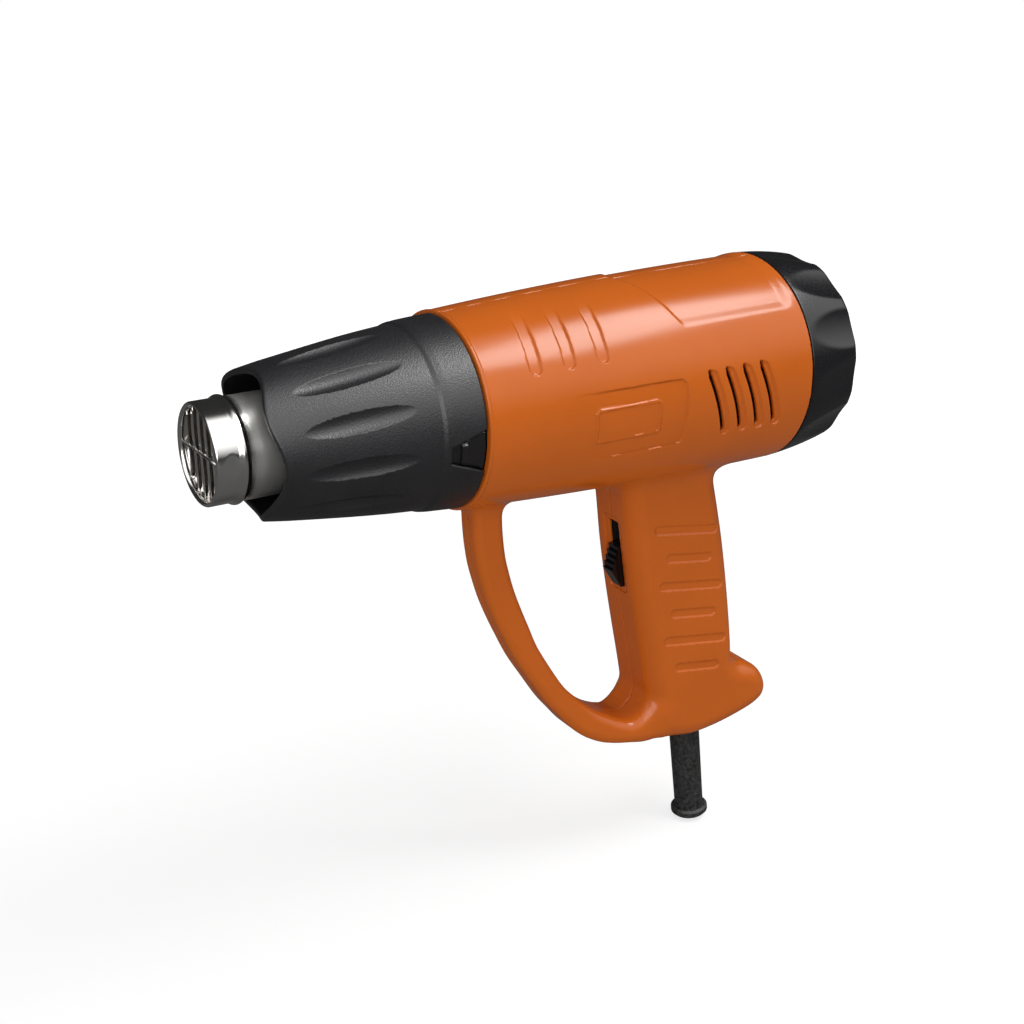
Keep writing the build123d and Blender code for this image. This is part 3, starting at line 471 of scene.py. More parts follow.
def body_fields(x, y, z, r):
    """The housing's main form with an endless barrel, and the same without the loop bar."""
    barrel = r - barrel_radius(x)
    grip = grip_field(x, y, z)
    handle = soft_min(grip, bar_field(x, y, z), FOOT_JOIN)
    place, width = BAR_JOIN_FADE
    join = BAR_JOIN + (GRIP_JOIN - BAR_JOIN) * ramp(place - x, width)
    return soft_min(barrel, handle, join), soft_min(barrel, grip, GRIP_JOIN)


def side_details(x, z, away):
    """How deep the barrel's shallow details lie under its surface; away is the angle round it."""
    carve = 0.0
    width, depth, shift = VENT_RECESS
    for i in range(VENT_COUNT):
        u, v = turned(x - VENT_X - i * VENT_PITCH - shift, z - VENT_Z + shift, VENT_LEAN)
        carve = carve + depth * ramp(capsule(u, v, VENT_LENGTH + shift, width), VENT_SOFT)
    lx, lz, length, height = LABEL
    panel = ramp(round_box(x - lx, z - lz, length / 2, height / 2, LABEL_CORNER), LABEL_SOFT)
    panel = panel * (1 - ramp(x - (lx - length / 2 + LABEL_FADE), 2 * LABEL_FADE))
    carve = carve + LABEL_DEPTH * panel
    px, pz, length, height = PLATE
    rim = np.abs(round_box(x - px, z - pz, length / 2, height / 2, PLATE_CORNER)) - PLATE_LINE
    carve = carve - PLATE_RISE * ramp(rim, PLATE_SOFT)
    low, high = (math.radians(a) for a in GROOVE_ANGLES)
    middle = (low + high) / 2
    length = (high - low) * BARREL_FRONT_RADIUS + GROOVE_WIDTH
    along = (away - middle) * BARREL_FRONT_RADIUS
    inset, width = GROOVE_FADE
    for i in range(GROOVE_COUNT):
        u, v = turned(x - GROOVE_X - i * GROOVE_PITCH, along, -GROOVE_LEAN)
        groove = ramp(capsule(u, v, length, GROOVE_WIDTH), GROOVE_SOFT)
        fade = ramp(v - length / 2 + inset, width)
        carve = carve + GROOVE_DEPTH * groove * fade
    return carve


def scoop(x, angle):
    """The flat along the barrel's top, bounded by a wedge in front and a flare at the rear."""
    wedge, wedge_slope, offset, wedge_soft = SCOOP_WEDGE
    flare, flare_slope, flare_soft = SCOOP_FLARE
    slant = x - SCOOP_X[0] - (math.radians(wedge) - angle) * wedge_slope
    front = ramp(-slant + offset, wedge_soft)
    rear = ramp(x - SCOOP_X[1] - (angle - flare) * flare_slope, flare_soft)
    low = ramp((math.radians(SCOOP_ANGLE) - angle) * SCOOP_RADIUS, SCOOP_SOFT)
    return SCOOP_DEPTH * front * rear * low


def grip_marks(x, z):
    """Depth of the sunk bars on the grip's sides."""
    carve = 0.0
    for i in range(BAR_MARK_COUNT):
        cx = BAR_MARK_START[0] + i * BAR_MARK_STEP[0]
        cz = BAR_MARK_START[1] + i * BAR_MARK_STEP[1]
        u, v = turned(x - cx, z - cz, BAR_MARK_TILT)
        length = BAR_MARK_LENGTHS[i % 2]
        carve = carve + BAR_MARK_DEPTH * ramp(capsule(v, u, length, BAR_MARK_HEIGHT), BAR_MARK_SOFT)
    return carve


def housing_field(x, y, z):
    """Signed distance to the hollow housing before it is parted."""
    r, angle = polar(-np.abs(y), z)
    body, room = body_fields(x, y, z, r)
    lip = LIP_RISE * ramp(x - BARREL_FRONT - LIP_LENGTH, LIP_SOFT) * ramp(LIP_FADE[0] - z, LIP_FADE[1])
    skin = ramp(BARREL_SKIN - r, SKIN_FADE) * ramp(BARREL_LOW[0] - z, BARREL_LOW[1])
    outer = body - lip + side_details(x, z, angle) * skin + scoop(x, angle)
    flank = ramp(z - BAR_MARK_TOP[0], BAR_MARK_TOP[1]) * ramp(BAR_MARK_SIDE[0] - np.abs(y), BAR_MARK_SIDE[1])
    outer = outer + grip_marks(x, z) * flank
    ends = np.maximum(BARREL_FRONT - x, x - BARREL_REAR)
    ends = np.where(z < BARREL_LOWEST, np.minimum(ends, FAR_INSIDE), ends)
    outer = soft_max(outer, ends, EDGE)
    shell = soft_max(outer, -(room + WALL), INNER_EDGE)
    for i in range(VENT_COUNT):
        u, v = turned(x - VENT_X - i * VENT_PITCH, z - VENT_Z, VENT_LEAN)
        slot = np.maximum(capsule(u, v, VENT_LENGTH, VENT_WIDTH), VENT_INNER - np.abs(y))
        shell = soft_max(shell, -slot, VENT_EDGE)
    return relief_bore(switch_window(shell, x, y, z), x, y, z)


def switch_window(shell, x, y, z):
    """The shell with the sunk frame and the hole of the switch window, u deep and w up from its middle."""
    u, w = turned(x - SWITCH_PLACE[0], z - SWITCH_PLACE[1], SWITCH_LEAN)
    half_width, half_length = WINDOW[0] / 2, WINDOW[1] / 2
    hole_corner, frame_corner = WINDOW_CORNERS
    sunk = round_box(y, w, half_width + WINDOW_FRAME, half_length + WINDOW_FRAME, frame_corner)
    sunk = np.maximum(np.maximum(sunk, u - WINDOW_FRAME_DEPTH), -WINDOW_REACH - u)
    shell = soft_max(shell, -sunk, WINDOW_FRAME_EDGE)
    hole = round_box(y, w, half_width, half_length, hole_corner)
    hole = np.maximum(hole, np.abs(u) - WALL - WINDOW_BEHIND)
    return soft_max(shell, -hole, INNER_EDGE)


def relief_bore(shell, x, y, z):
    """The shell with the bore that the cord's sleeve leaves by."""
    across, up = turned(x - RELIEF_PLACE[0], z - RELIEF_PLACE[1], RELIEF_LEAN)
    bore = np.maximum(np.sqrt(across ** 2 + y * y) - RELIEF_RADIUS, up - RELIEF_DEPTH)
    return soft_max(shell, -bore, RELIEF_EDGE)


def screw_wells(shell, x, y, z, r):
    """Bosses with sunk screw seats, on the right side alone."""
    outer, _ = body_fields(x, y, z, r)
    for sx, sz in SCREWS:
        away = np.sqrt((x - sx) ** 2 + (z - sz) ** 2)
        boss = np.maximum(np.maximum(away - SCREW_BOSS, outer), -y)
        well = np.maximum(away - SCREW_HOLE, SCREW_SEAT - y)
        shell = soft_max(np.minimum(shell, boss), -well, EDGE)
    return shell


def left_field(x, y, z):
    """Signed distance to the left shell."""
    return soft_max(housing_field(x, y, z), y + PARTING, SEAM)


def right_field(x, y, z):
    """Signed distance to the right shell."""
    r, _ = polar(y, z)
    shell = screw_wells(housing_field(x, y, z), x, y, z, r)
    return soft_max(shell, PARTING - y, SEAM)


# Guard

def guard_radius(x):
    """Outer radius of the guard, which swells to the rear and steps out near its end."""
    nose_x, nose_radius = GUARD_NOSE
    length, flare, droop = GUARD_FLARE
    step_x, step_rise, step_soft = GUARD_STEP
    t = np.clip((x - nose_x) / length, -0.3, 1.1)
    rear = step_rise + GUARD_TAPER * np.maximum(x - step_x, 0.0)
    return nose_radius + flare * t - droop * t * t + rear * ramp(step_x - x, step_soft)


def notch_across(x, angle, r):
    """Distance outside the slanting sides of the nearest notch."""
    across = np.abs(sector(angle, NOTCHES, NOTCH_ANGLE)) * r
    share = np.clip((x - NOTCH_FRONT) / (GUARD_REAR - NOTCH_FRONT), 0.0, 1.2)
    return across - NOTCH_HALF[0] - share * (NOTCH_HALF[1] - NOTCH_HALF[0])


def guard_field(x, y, z):
    """Signed distance to the guard: a wavy-mouthed horn with dimples and rear notches."""
    r, angle = polar(y, z)
    outer = (r - guard_radius(x)) * GUARD_SLOPE
    around = sector(angle, DIMPLES, DIMPLE_ANGLE) * r
    u, v = turned(x - DIMPLE_X, around, DIMPLE_LEAN)
    reach = (u / (DIMPLE_SIZE[0] / 2)) ** 2 + (v / (DIMPLE_SIZE[1] / 2)) ** 2
    skin = ramp(DIMPLE_INNER[0] - r, DIMPLE_INNER[1])
    outer = outer + DIMPLE_DEPTH * np.maximum(1.0 - reach, 0.0) * skin
    middle, depth, start = GUARD_WAVE
    rim = middle - depth * np.cos(GUARD_WAVES * (angle - math.radians(start)))
    body = soft_max(outer, rim - x, GUARD_RIM_EDGE)
    body = soft_max(body, x - GUARD_REAR, GUARD_EDGE)
    inner = guard_radius(np.minimum(x, GUARD_INNER_END)) - GUARD_WALL
    hollow = r - np.where(x > GUARD_BORE[0], GUARD_BORE[1], inner)
    body = soft_max(body, -hollow, GUARD_EDGE)
    notch = np.maximum(np.maximum(NOTCH_FRONT - x, notch_across(x, angle, r)), NOTCH_INNER - r)
    return soft_max(body, -notch, NOTCH_EDGE)


def tube_field(x, r, front, rear, inner, outer):
    """Distance to a tube round the barrel's axis."""
    return np.maximum(np.maximum(r - outer, inner - r), np.maximum(front - x, x - rear))


def collar_field(x, y, z):
    """Signed distance to the collar: a tube in the guard, a web, a sleeve and three ridged lugs."""
    r, angle = polar(y, z)
    inner = COLLAR_RADIUS - COLLAR_WALL
    web_front, rear = COLLAR_WEB
    start, bore, outer = COLLAR_SLEEVE
    tube = tube_field(x, r, COLLAR_FRONT, rear, inner, COLLAR_RADIUS)
    sleeve = tube_field(x, r, start, rear, bore, outer)
    web = tube_field(x, r, web_front, rear, bore, COLLAR_FLANGE)
    ridge_x, ridge_length, ridge_height, rise = LUG_RIDGE
    corner, soft = LUG_RIDGE_SHAPE
    across = sector(angle, NOTCHES, NOTCH_ANGLE) * r
    ridge = ramp(round_box(x - ridge_x, across, ridge_length / 2, ridge_height / 2, corner), soft)
    dip_x, dip_half, dip_soft, dip_depth = LUG_DIP
    dip = dip_depth * ramp(np.abs(x - dip_x) - dip_half, dip_soft)
    top = r - (guard_radius(x) - LUG_SINK + rise * ridge - dip)
    lug = np.maximum(top, notch_across(x, angle, r) + LUG_GAP)
    lug = np.maximum(np.maximum(lug, inner - r), np.maximum(LUG_FRONT - x, x - GUARD_REAR + LUG_GAP / 2))
    return np.minimum(soft_min(tube, lug, LUG_JOIN), np.minimum(sleeve, web))


# Rear cap

def cap_field(x, y, z):
    """Signed distance to the fluted cap with its slotted shutter disc."""
    r, angle = polar(y, z)
    t = np.clip((x - CAP_FRONT) / (CAP_REAR - CAP_FRONT), 0.0, 1.2)
    radius = CAP_RADII[0] + (CAP_RADII[1] - CAP_RADII[0]) * t + CAP_SWELL * 4 * t * (1 - t)
    body = soft_max((r - radius) * CAP_SLOPE, x - CAP_REAR, CAP_EDGE)
    body = soft_max(body, CAP_FRONT - x, CAP_INNER_EDGE)
    local = sector(angle, FLUTES, FLUTE_START)
    c = math.cos(math.radians(FLUTE_ANGLE))
    s = math.sin(math.radians(FLUTE_ANGLE))
    height = CAP_RADII[1] - FLUTE_DEPTH + FLUTE_RADIUS / c
    lift = (x - CAP_REAR) * s + (r * np.cos(local) - height) * c
    body = soft_max(body, FLUTE_RADIUS - np.sqrt(lift ** 2 + (r * np.sin(local)) ** 2), FLUTE_EDGE)
    bore = np.maximum(r - CAP_BORE, x - CAP_DISC[0])
    dish = np.maximum(r - CAP_DISH, CAP_DISC[1] - x)
    hollow = np.minimum(np.minimum(bore, dish), r - CAP_PIVOT)
    spoke = (np.abs(sector(angle, FLUTES, SLOT_START)) - math.radians(SLOT_ANGLE)) * r
    middle = (SLOT_RADII[0] + SLOT_RADII[1]) / 2
    slot = np.maximum(spoke, np.abs(r - middle) - (SLOT_RADII[1] - SLOT_RADII[0]) / 2)
    return soft_max(body, -np.minimum(hollow, slot), CAP_INNER_EDGE)


# Meshes from fields

def surface_net(field, low, high, step):
    """Vertices and quads of the surface where a field changes sign, one vertex a cell."""
    counts = [int(math.ceil((b - a) / step)) + 1 for a, b in zip(low, high)]
    axes = [a + step * np.arange(n) for a, n in zip(low, counts)]
    samples = field(axes[0][:, None, None], axes[1][None, :, None], axes[2][None, None, :])
    samples = np.ascontiguousarray(np.broadcast_to(samples, counts), dtype=np.float32)
    cells = [n - 1 for n in counts]
    total = np.zeros(cells + [3], np.float32)
    hits = np.zeros(cells, np.float32)
    crossings = []
    for axis in range(3):
        u, v = (axis + 1) % 3, (axis + 2) % 3
        a = np.take(samples, range(cells[axis]), axis)
        b = np.take(samples, range(1, counts[axis]), axis)
        crossing = (a < 0) != (b < 0)
        share = np.where(crossing, a / np.where(crossing, a - b, 1), 0)
        crossings.append((axis, crossing, a < 0))
        for du in (0, 1):
            for dv in (0, 1):
                cut = [slice(None)] * 3
                cut[u] = slice(du, du + cells[u])
                cut[v] = slice(dv, dv + cells[v])
                cut = tuple(cut)
                hits += crossing[cut]
                total[..., axis] += share[cut]
                total[..., u] += du * crossing[cut]
                total[..., v] += dv * crossing[cut]
    active = hits > 0
    index = np.full(cells, -1)
    index[active] = np.arange(active.sum())
    places = np.argwhere(active) + total[active] / hits[active][:, None]
    points = places * step + np.array(low)
    quads = []
    for axis, crossing, low_inside in crossings:
        u, v = (axis + 1) % 3, (axis + 2) % 3
        cut = [slice(None)] * 3
        cut[u] = slice(1, cells[u])
        cut[v] = slice(1, cells[v])
        inner = crossing[tuple(cut)]
        where = np.argwhere(inner)
        where[:, u] += 1
        where[:, v] += 1
        forward = low_inside[tuple(where.T)]
        corners = []
        for du, dv in ((1, 1), (0, 1), (0, 0), (1, 0)):
            at = where.copy()
            at[:, u] -= du
            at[:, v] -= dv
            corners.append(index[tuple(at.T)])
        quad = np.stack(corners, 1)
        quad[~forward] = quad[~forward][:, ::-1]
        quads.append(quad)
    return points, np.concatenate(quads)


def slope(field, p, reach):
    """Gradient of a field at points, and its value there."""
    value = field(p[:, 0], p[:, 1], p[:, 2])
    parts = []
    for axis in range(3):
        ahead = p.copy()
        ahead[:, axis] += reach
        behind = p.copy()
        behind[:, axis] -= reach
        parts.append((field(*ahead.T) - field(*behind.T)) / (2 * reach))
    return value, np.stack(parts, 1)


def settle(field, points, step, rounds=2):
    """Moves vertices onto the surface along the field's slope."""
    for _ in range(rounds):
        value, gradient = slope(field, points, step * SLOPE_REACH)
        size = np.maximum((gradient ** 2).sum(1), LEAST_SLOPE)
        move = np.clip(value / size, -step * LARGEST_MOVE, step * LARGEST_MOVE)
        points = points - gradient * move[:, None]
    return points


def linked(name, data):
    """An object of the scene that shows the data."""
    made = bpy.data.objects.new(name, data)
    bpy.context.scene.collection.objects.link(made)
    return made


def mesh_object(name, points, faces, normals=None):
    """A smooth-shaded mesh object from points in millimetres."""
    mesh = bpy.data.meshes.new(name)
    mesh.from_pydata((np.asarray(points) * MM).tolist(), [], faces)
    mesh.shade_smooth()
    if normals is not None:
        mesh.normals_split_custom_set_from_vertices(normals.tolist())
    mesh.update()
    return linked(name, mesh)


def field_object(name, field, low, high, step):
    """A mesh object of the surface of a field, shaded by the field's slope."""
    points, quads = surface_net(field, low, high, step)
    points = settle(field, points, step)
    _, gradient = slope(field, points, step * NORMAL_REACH)
    normals = gradient / np.maximum(np.linalg.norm(gradient, axis=1), 1e-6)[:, None]
    return mesh_object(name, points, quads.tolist(), normals)


def lathe(name, profile, segments, dent=None):
    """A closed mesh round the barrel's axis from a closed (x, radius) profile, with an optional dent."""
    turns = np.arange(segments) * 2 * math.pi / segments
    rows = np.array(profile, float)
    x = np.repeat(rows[None, :, 0], segments, 0)
    r = np.repeat(rows[None, :, 1], segments, 0)
    angle = np.repeat(turns[:, None], len(rows), 1)
    if dent:
        r = r - dent(x, angle, r)
    points = np.stack([x, -r * np.cos(angle), r * np.sin(angle)], -1).reshape(-1, 3)
    n = len(rows)
    faces = []
    for i in range(segments):
        a = i * n
        b = (i + 1) % segments * n
        faces += [(a + k, b + k, b + (k + 1) % n, a + (k + 1) % n) for k in range(n)]
    return mesh_object(name, points, faces)


def merge(name, pieces):
    """Joins mesh objects into one."""
    mesh = bmesh.new()
    for piece in pieces:
        mesh.from_mesh(piece.data)
        bpy.data.objects.remove(piece)
    data = bpy.data.meshes.new(name)
    bmesh.ops.recalc_face_normals(mesh, faces=mesh.faces)
    mesh.to_mesh(data)
    mesh.free()
    data.shade_smooth()
    return linked(name, data)


# Materials

CLOUD_BAND = (0.35, 0.65)
ROUGH_BAND = (0.3, 0.7)


def material(name, colour, roughness, metallic=0.0):
    """A new material with its main shader's plain values set."""
    made = bpy.data.materials.new(name)
    made.use_nodes = True
    shader = made.node_tree.nodes["Principled BSDF"]
    shader.inputs["Base Color"].default_value = (*colour, 1.0)
    shader.inputs["Roughness"].default_value = roughness
    shader.inputs["Metallic"].default_value = metallic
    return made, made.node_tree, shader


def noise(tree, scale, detail=3.0, stretch=None, rough=0.55):
    """Noise in the object's own coordinates, in metres times scale."""
    source = tree.nodes.new("ShaderNodeTexCoord")
    mapping = tree.nodes.new("ShaderNodeMapping")
    texture = tree.nodes.new("ShaderNodeTexNoise")
    tree.links.new(source.outputs["Object"], mapping.inputs["Vector"])
    tree.links.new(mapping.outputs["Vector"], texture.inputs["Vector"])
    if stretch:
        mapping.inputs["Scale"].default_value = stretch
    texture.inputs["Scale"].default_value = scale
    texture.inputs["Detail"].default_value = detail
    texture.inputs["Roughness"].default_value = rough
    return texture.outputs["Fac"]


def band(tree, value, low, high, to_low, to_high):
    """Maps a value from one range to another."""
    node = tree.nodes.new("ShaderNodeMapRange")
    node.inputs["From Min"].default_value = low
    node.inputs["From Max"].default_value = high
    node.inputs["To Min"].default_value = to_low
    node.inputs["To Max"].default_value = to_high
    tree.links.new(value, node.inputs["Value"])
    return node.outputs["Result"]


def reckon(tree, operation, *terms):
    """A value worked out from terms, which are plain numbers or other nodes' outputs."""
    node = tree.nodes.new("ShaderNodeMath")
    node.operation = operation
    for term, socket in zip(terms, node.inputs):
        if isinstance(term, float):
            socket.default_value = term
        else:
            tree.links.new(term, socket)
    return node.outputs["Value"]


def coordinates(tree, kind):
    """X, Y and Z of one kind of coordinates."""
    source = tree.nodes.new("ShaderNodeTexCoord")
    split = tree.nodes.new("ShaderNodeSeparateXYZ")
    tree.links.new(source.outputs[kind], split.inputs["Vector"])
    return split.outputs


def tint(tree, shader, value, first, second):
    """Colours the surface between two colours by a value from 0 to 1."""
    mix = tree.nodes.new("ShaderNodeMix")
    mix.data_type = "RGBA"
    mix.inputs["A"].default_value = (*first, 1.0)
    mix.inputs["B"].default_value = (*second, 1.0)
    tree.links.new(value, mix.inputs["Factor"])
    tree.links.new(mix.outputs["Result"], shader.inputs["Base Color"])


def clouds(tree, shader, scale, detail, colour, low, high):
    """Soft clouds between a darker and a lighter shade of a colour."""
    cloud = noise(tree, scale, detail)
    darker, lighter = (tuple(min(c * share, 1.0) for c in colour) for share in (low, high))
    tint(tree, shader, band(tree, cloud, *CLOUD_BAND, 0, 1), darker, lighter)


def bump(tree, shader, height, strength, distance):
    """Adds surface relief from a height; the distance is in millimetres."""
    node = tree.nodes.new("ShaderNodeBump")
    node.inputs["Strength"].default_value = strength
    node.inputs["Distance"].default_value = distance * MM
    tree.links.new(height, node.inputs["Height"])
    tree.links.new(node.outputs["Normal"], shader.inputs["Normal"])


def rough_by(tree, shader, value, low, high):
    """Varies the roughness with a value from 0 to 1."""
    tree.links.new(band(tree, value, *ROUGH_BAND, low, high), shader.inputs["Roughness"])


def plastic(name, colour, roughness, grain=900.0, relief=0.03, variation=0.06, spread=0.05, shine=0.5):
    """Moulded plastic: fine grain in the surface, faint cloudiness in colour and gloss."""
    made, tree, shader = material(name, colour, roughness)
    shader.inputs["Specular IOR Level"].default_value = shine
    clouds(tree, shader, 28.0, 3.0, colour, 1 - variation, 1 + variation)
    fine = noise(tree, grain, detail=2.0)
    rough_by(tree, shader, fine, roughness - spread, roughness + spread)
    bump(tree, shader, fine, strength=0.35, distance=relief)
    return made


def pebbled(name, colour, roughness, size, relief):
    """Plastic with a fine spark-eroded texture of small pebbles."""
    made, tree, shader = material(name, colour, roughness)
    shader.inputs["Specular IOR Level"].default_value = 0.75
    source = tree.nodes.new("ShaderNodeTexCoord")
    cells = tree.nodes.new("ShaderNodeTexVoronoi")
    cells.feature = "SMOOTH_F1"
    cells.inputs["Scale"].default_value = 1000.0 / size
    cells.inputs["Smoothness"].default_value = 0.6
    tree.links.new(source.outputs["Object"], cells.inputs["Vector"])
    grain = noise(tree, 1600.0, detail=3.0)
    height = reckon(tree, "MULTIPLY_ADD", grain, 0.6, cells.outputs["Distance"])
    bump(tree, shader, height, strength=0.6, distance=relief)
    clouds(tree, shader, 60.0, 4.0, colour, 0.85, 1.15)
    rough_by(tree, shader, grain, roughness - 0.06, roughness + 0.06)
    return made


def steel(name, colour, roughness, stretch, relief=0.004, spread=0.04):
    """Drawn or brushed steel with fine lines; stretch squeezes the noise along the lines."""
    made, tree, shader = material(name, colour, roughness, metallic=1.0)
    lines = noise(tree, 700.0, detail=4.0, stretch=stretch)
    rough_by(tree, shader, lines, max(roughness - spread, 0.02), roughness + spread)
    bump(tree, shader, lines, strength=0.3, distance=relief)
    clouds(tree, shader, 45.0, 3.0, colour, 0.94, 1.0)
    return made


def nozzle_steel():
    """Polished steel, duller where the nozzle runs into its guard."""
    made, tree, shader = material("polished_steel", (0.80, 0.79, 0.76), 0.17, metallic=1.0)
    lines = noise(tree, 700.0, detail=4.0, stretch=(0.03, 1.0, 1.0))
    along = coordinates(tree, "Object")["X"]
    start, end = (v * MM for v in NOZZLE_DULL)
    rough = reckon(tree, "MULTIPLY_ADD", lines, 0.08, band(tree, along, start, end, 0.13, 0.30))
    tree.links.new(rough, shader.inputs["Roughness"])
    tree.links.new(band(tree, along, start, end, 1.0, 0.84), shader.inputs["Metallic"])
    bump(tree, shader, lines, strength=0.3, distance=0.004)
    cloud = band(tree, noise(tree, 45.0, detail=3.0), *CLOUD_BAND, 0, 1)
    tint(tree, shader, cloud, (0.74, 0.73, 0.70), (0.80, 0.79, 0.76))
    return made


ORANGE = plastic("orange_plastic", (0.600, 0.127, 0.012), 0.21, 1400.0, 0.006, variation=0.03, spread=0.02,
                 shine=0.38)
GUARD = pebbled("guard_plastic", (0.013, 0.0125, 0.0145), 0.42, 0.55, 0.10)
COLLAR = plastic("collar_plastic", (0.012, 0.012, 0.013), 0.16, 900.0, 0.006)
CAP = plastic("cap_plastic", (0.009, 0.009, 0.0105), 0.27, 1200.0, 0.014)
SLIDER = plastic("switch_gloss", (0.005, 0.005, 0.006), 0.16, 900.0, 0.006)
SWITCH = plastic("switch_plastic", (0.012, 0.012, 0.013), 0.45)
NOZZLE = nozzle_steel()
GRILLE = steel("grille_steel", (0.72, 0.70, 0.68), 0.16, (1.0, 1.0, 0.05))
ZINC = steel("zinc_steel", (0.62, 0.63, 0.64), 0.30, (1.0, 0.1, 1.0))
SHAFT = steel("shaft_steel", (0.66, 0.66, 0.68), 0.18, (1.0, 0.1, 0.1))
LAMINATION = steel("lamination_steel", (0.35, 0.35, 0.37), 0.42, (20.0, 0.05, 0.05), relief=0.05)
WIRE = steel("resistance_wire", (0.32, 0.28, 0.26), 0.40, (1.0, 1.0, 1.0))
CUTOUT = steel("cutout_metal", (0.68, 0.68, 0.70), 0.28, (1.0, 0.1, 0.1))
BRONZE = steel("bronze", (0.50, 0.32, 0.14), 0.38, (1.0, 1.0, 1.0), relief=0.02)
COPPER = steel("copper", (0.62, 0.28, 0.14), 0.26, (0.1, 1.0, 1.0))
MICA = plastic("mica", (0.52, 0.44, 0.28), 0.48, 300.0, 0.06, variation=0.2)
FERRITE = plastic("ferrite", (0.022, 0.022, 0.024), 0.60, 1500.0, 0.04)
DUCT = plastic("duct_plastic", (0.014, 0.014, 0.016), 0.50, 700.0, 0.03)
FAN = plastic("fan_plastic", (0.030, 0.030, 0.034), 0.42, 700.0, 0.02)
BOARD = plastic("circuit_board", (0.26, 0.16, 0.05), 0.45, 250.0, 0.03, variation=0.15)
INTAKE = plastic("grille_plastic", (0.010, 0.010, 0.011), 0.48, 800.0, 0.03)
BLOCK = plastic("block_plastic", (0.66, 0.64, 0.57), 0.45, 500.0, 0.02)


def mottled_rubber():
    """Black rubber with a coarse rubbed surface."""
    made, tree, shader = material("relief_rubber", (0.012, 0.012, 0.012), 0.5)
    blots = noise(tree, 700.0, detail=5.0, rough=0.65)
    tint(tree, shader, band(tree, blots, 0.38, 0.66, 0, 1), (0.010, 0.010, 0.010), (0.052, 0.051, 0.051))
    rough_by(tree, shader, blots, 0.36, 0.6)
    bump(tree, shader, blots, strength=0.7, distance=0.06)
    return made


RUBBER = mottled_rubber()

NODE_MATERIALS = {
    "housing_screws": ZINC, "nozzle_tube": NOZZLE, "nozzle_grille": GRILLE, "nozzle_guard": GUARD,
    "guard_collar": COLLAR, "heater_tube": MICA, "heater_former": MICA, "heating_coil": WIRE,
    "heater_flange": ZINC, "thermal_cutout": CUTOUT, "fan_duct": DUCT, "motor_can": ZINC,
    "motor_magnets": FERRITE, "motor_end_bell": DUCT, "motor_bushes": BRONZE, "motor_shaft": SHAFT,
    "armature": LAMINATION, "commutator": COPPER, "fan": FAN, "rectifier_board": BOARD,
    "intake_grille": INTAKE, "pivot_screw": ZINC, "rear_cap": CAP, "switch_body": SWITCH,
    "switch_slider": SLIDER, "strain_relief": RUBBER, "terminal_block": BLOCK, "cord_clamp": ZINC,
    "clamp_screws": ZINC, "housing_left": ORANGE, "housing_right": ORANGE,
}


def dress_nodes():
    """Gives every carried-over CAD node its finish."""
    for name, finish in NODE_MATERIALS.items():
        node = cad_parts[name]
        node.data.materials.clear()
        node.data.materials.append(finish)


def place(piece, body, node, finish, slot):
    """Seats a piece on its body in place of a CAD node."""
    piece.data.materials.clear()
    piece.data.materials.append(finish)
    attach(piece, body)
    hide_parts(node)


# Pieces

def build_housing():
    """The two moulded shells."""
    low = (BARREL_FRONT - 2.0, -42.5, -160.0)
    high = (242.0, 1.6, 42.5)
    left = field_object("left_shell", left_field, low, high, SHELL_STEP)
    place(left, "housing", "housing_left", ORANGE, "orange_plastic")
    low = (BARREL_FRONT - 2.0, -1.6, -160.0)
    high = (242.0, 42.5, 42.5)
    right = field_object("right_shell", right_field, low, high, SHELL_STEP)
    place(right, "housing", "housing_right", ORANGE, "orange_plastic")


def build_guard():
    """The guard round the nozzle."""
    low, high = (14.0, -38.0, -38.0), (93.0, 38.0, 38.0)
    guard = field_object("fluted_guard", guard_field, low, high, GUARD_MESH_STEP)
    place(guard, "guard", "nozzle_guard", GUARD, "guard_plastic")


def build_cap():
    """The rear cap."""
    low, high = (227.0, -42.5, -42.5), (256.5, 42.5, 42.5)
    cap = field_object("fluted_cap", cap_field, low, high, CAP_MESH_STEP)
    place(cap, "cap", "rear_cap", CAP, "cap_plastic")


def build_collar():
    """The collar that the guard pushes onto."""
    low, high = (75.0, -37.0, -37.0), (98.0, 37.0, 37.0)
    collar = field_object("ridged_collar", collar_field, low, high, COLLAR_MESH_STEP)
    place(collar, "housing", "guard_collar", COLLAR, "collar_plastic")


def dent_depth(x, angle, r):
    """How deep the dent in the nozzle's left side presses its wall in."""
    middle, length, height, depth = DENT
    across = ((angle + math.pi) % (2 * math.pi) - math.pi) * r
    reach = ((x - middle) / (length / 2)) ** 2 + (across / (height / 2)) ** 2
    return depth * np.maximum(1.0 - reach, 0.0) ** 0.5


def arc(x, r, radius, start, end, steps):
    """Points of an arc in the (x, radius) plane, by angles in degrees."""
    turns = [math.radians(start + (end - start) * i / steps) for i in range(steps + 1)]
    return [(x + radius * math.cos(t), r + radius * math.sin(t)) for t in turns]


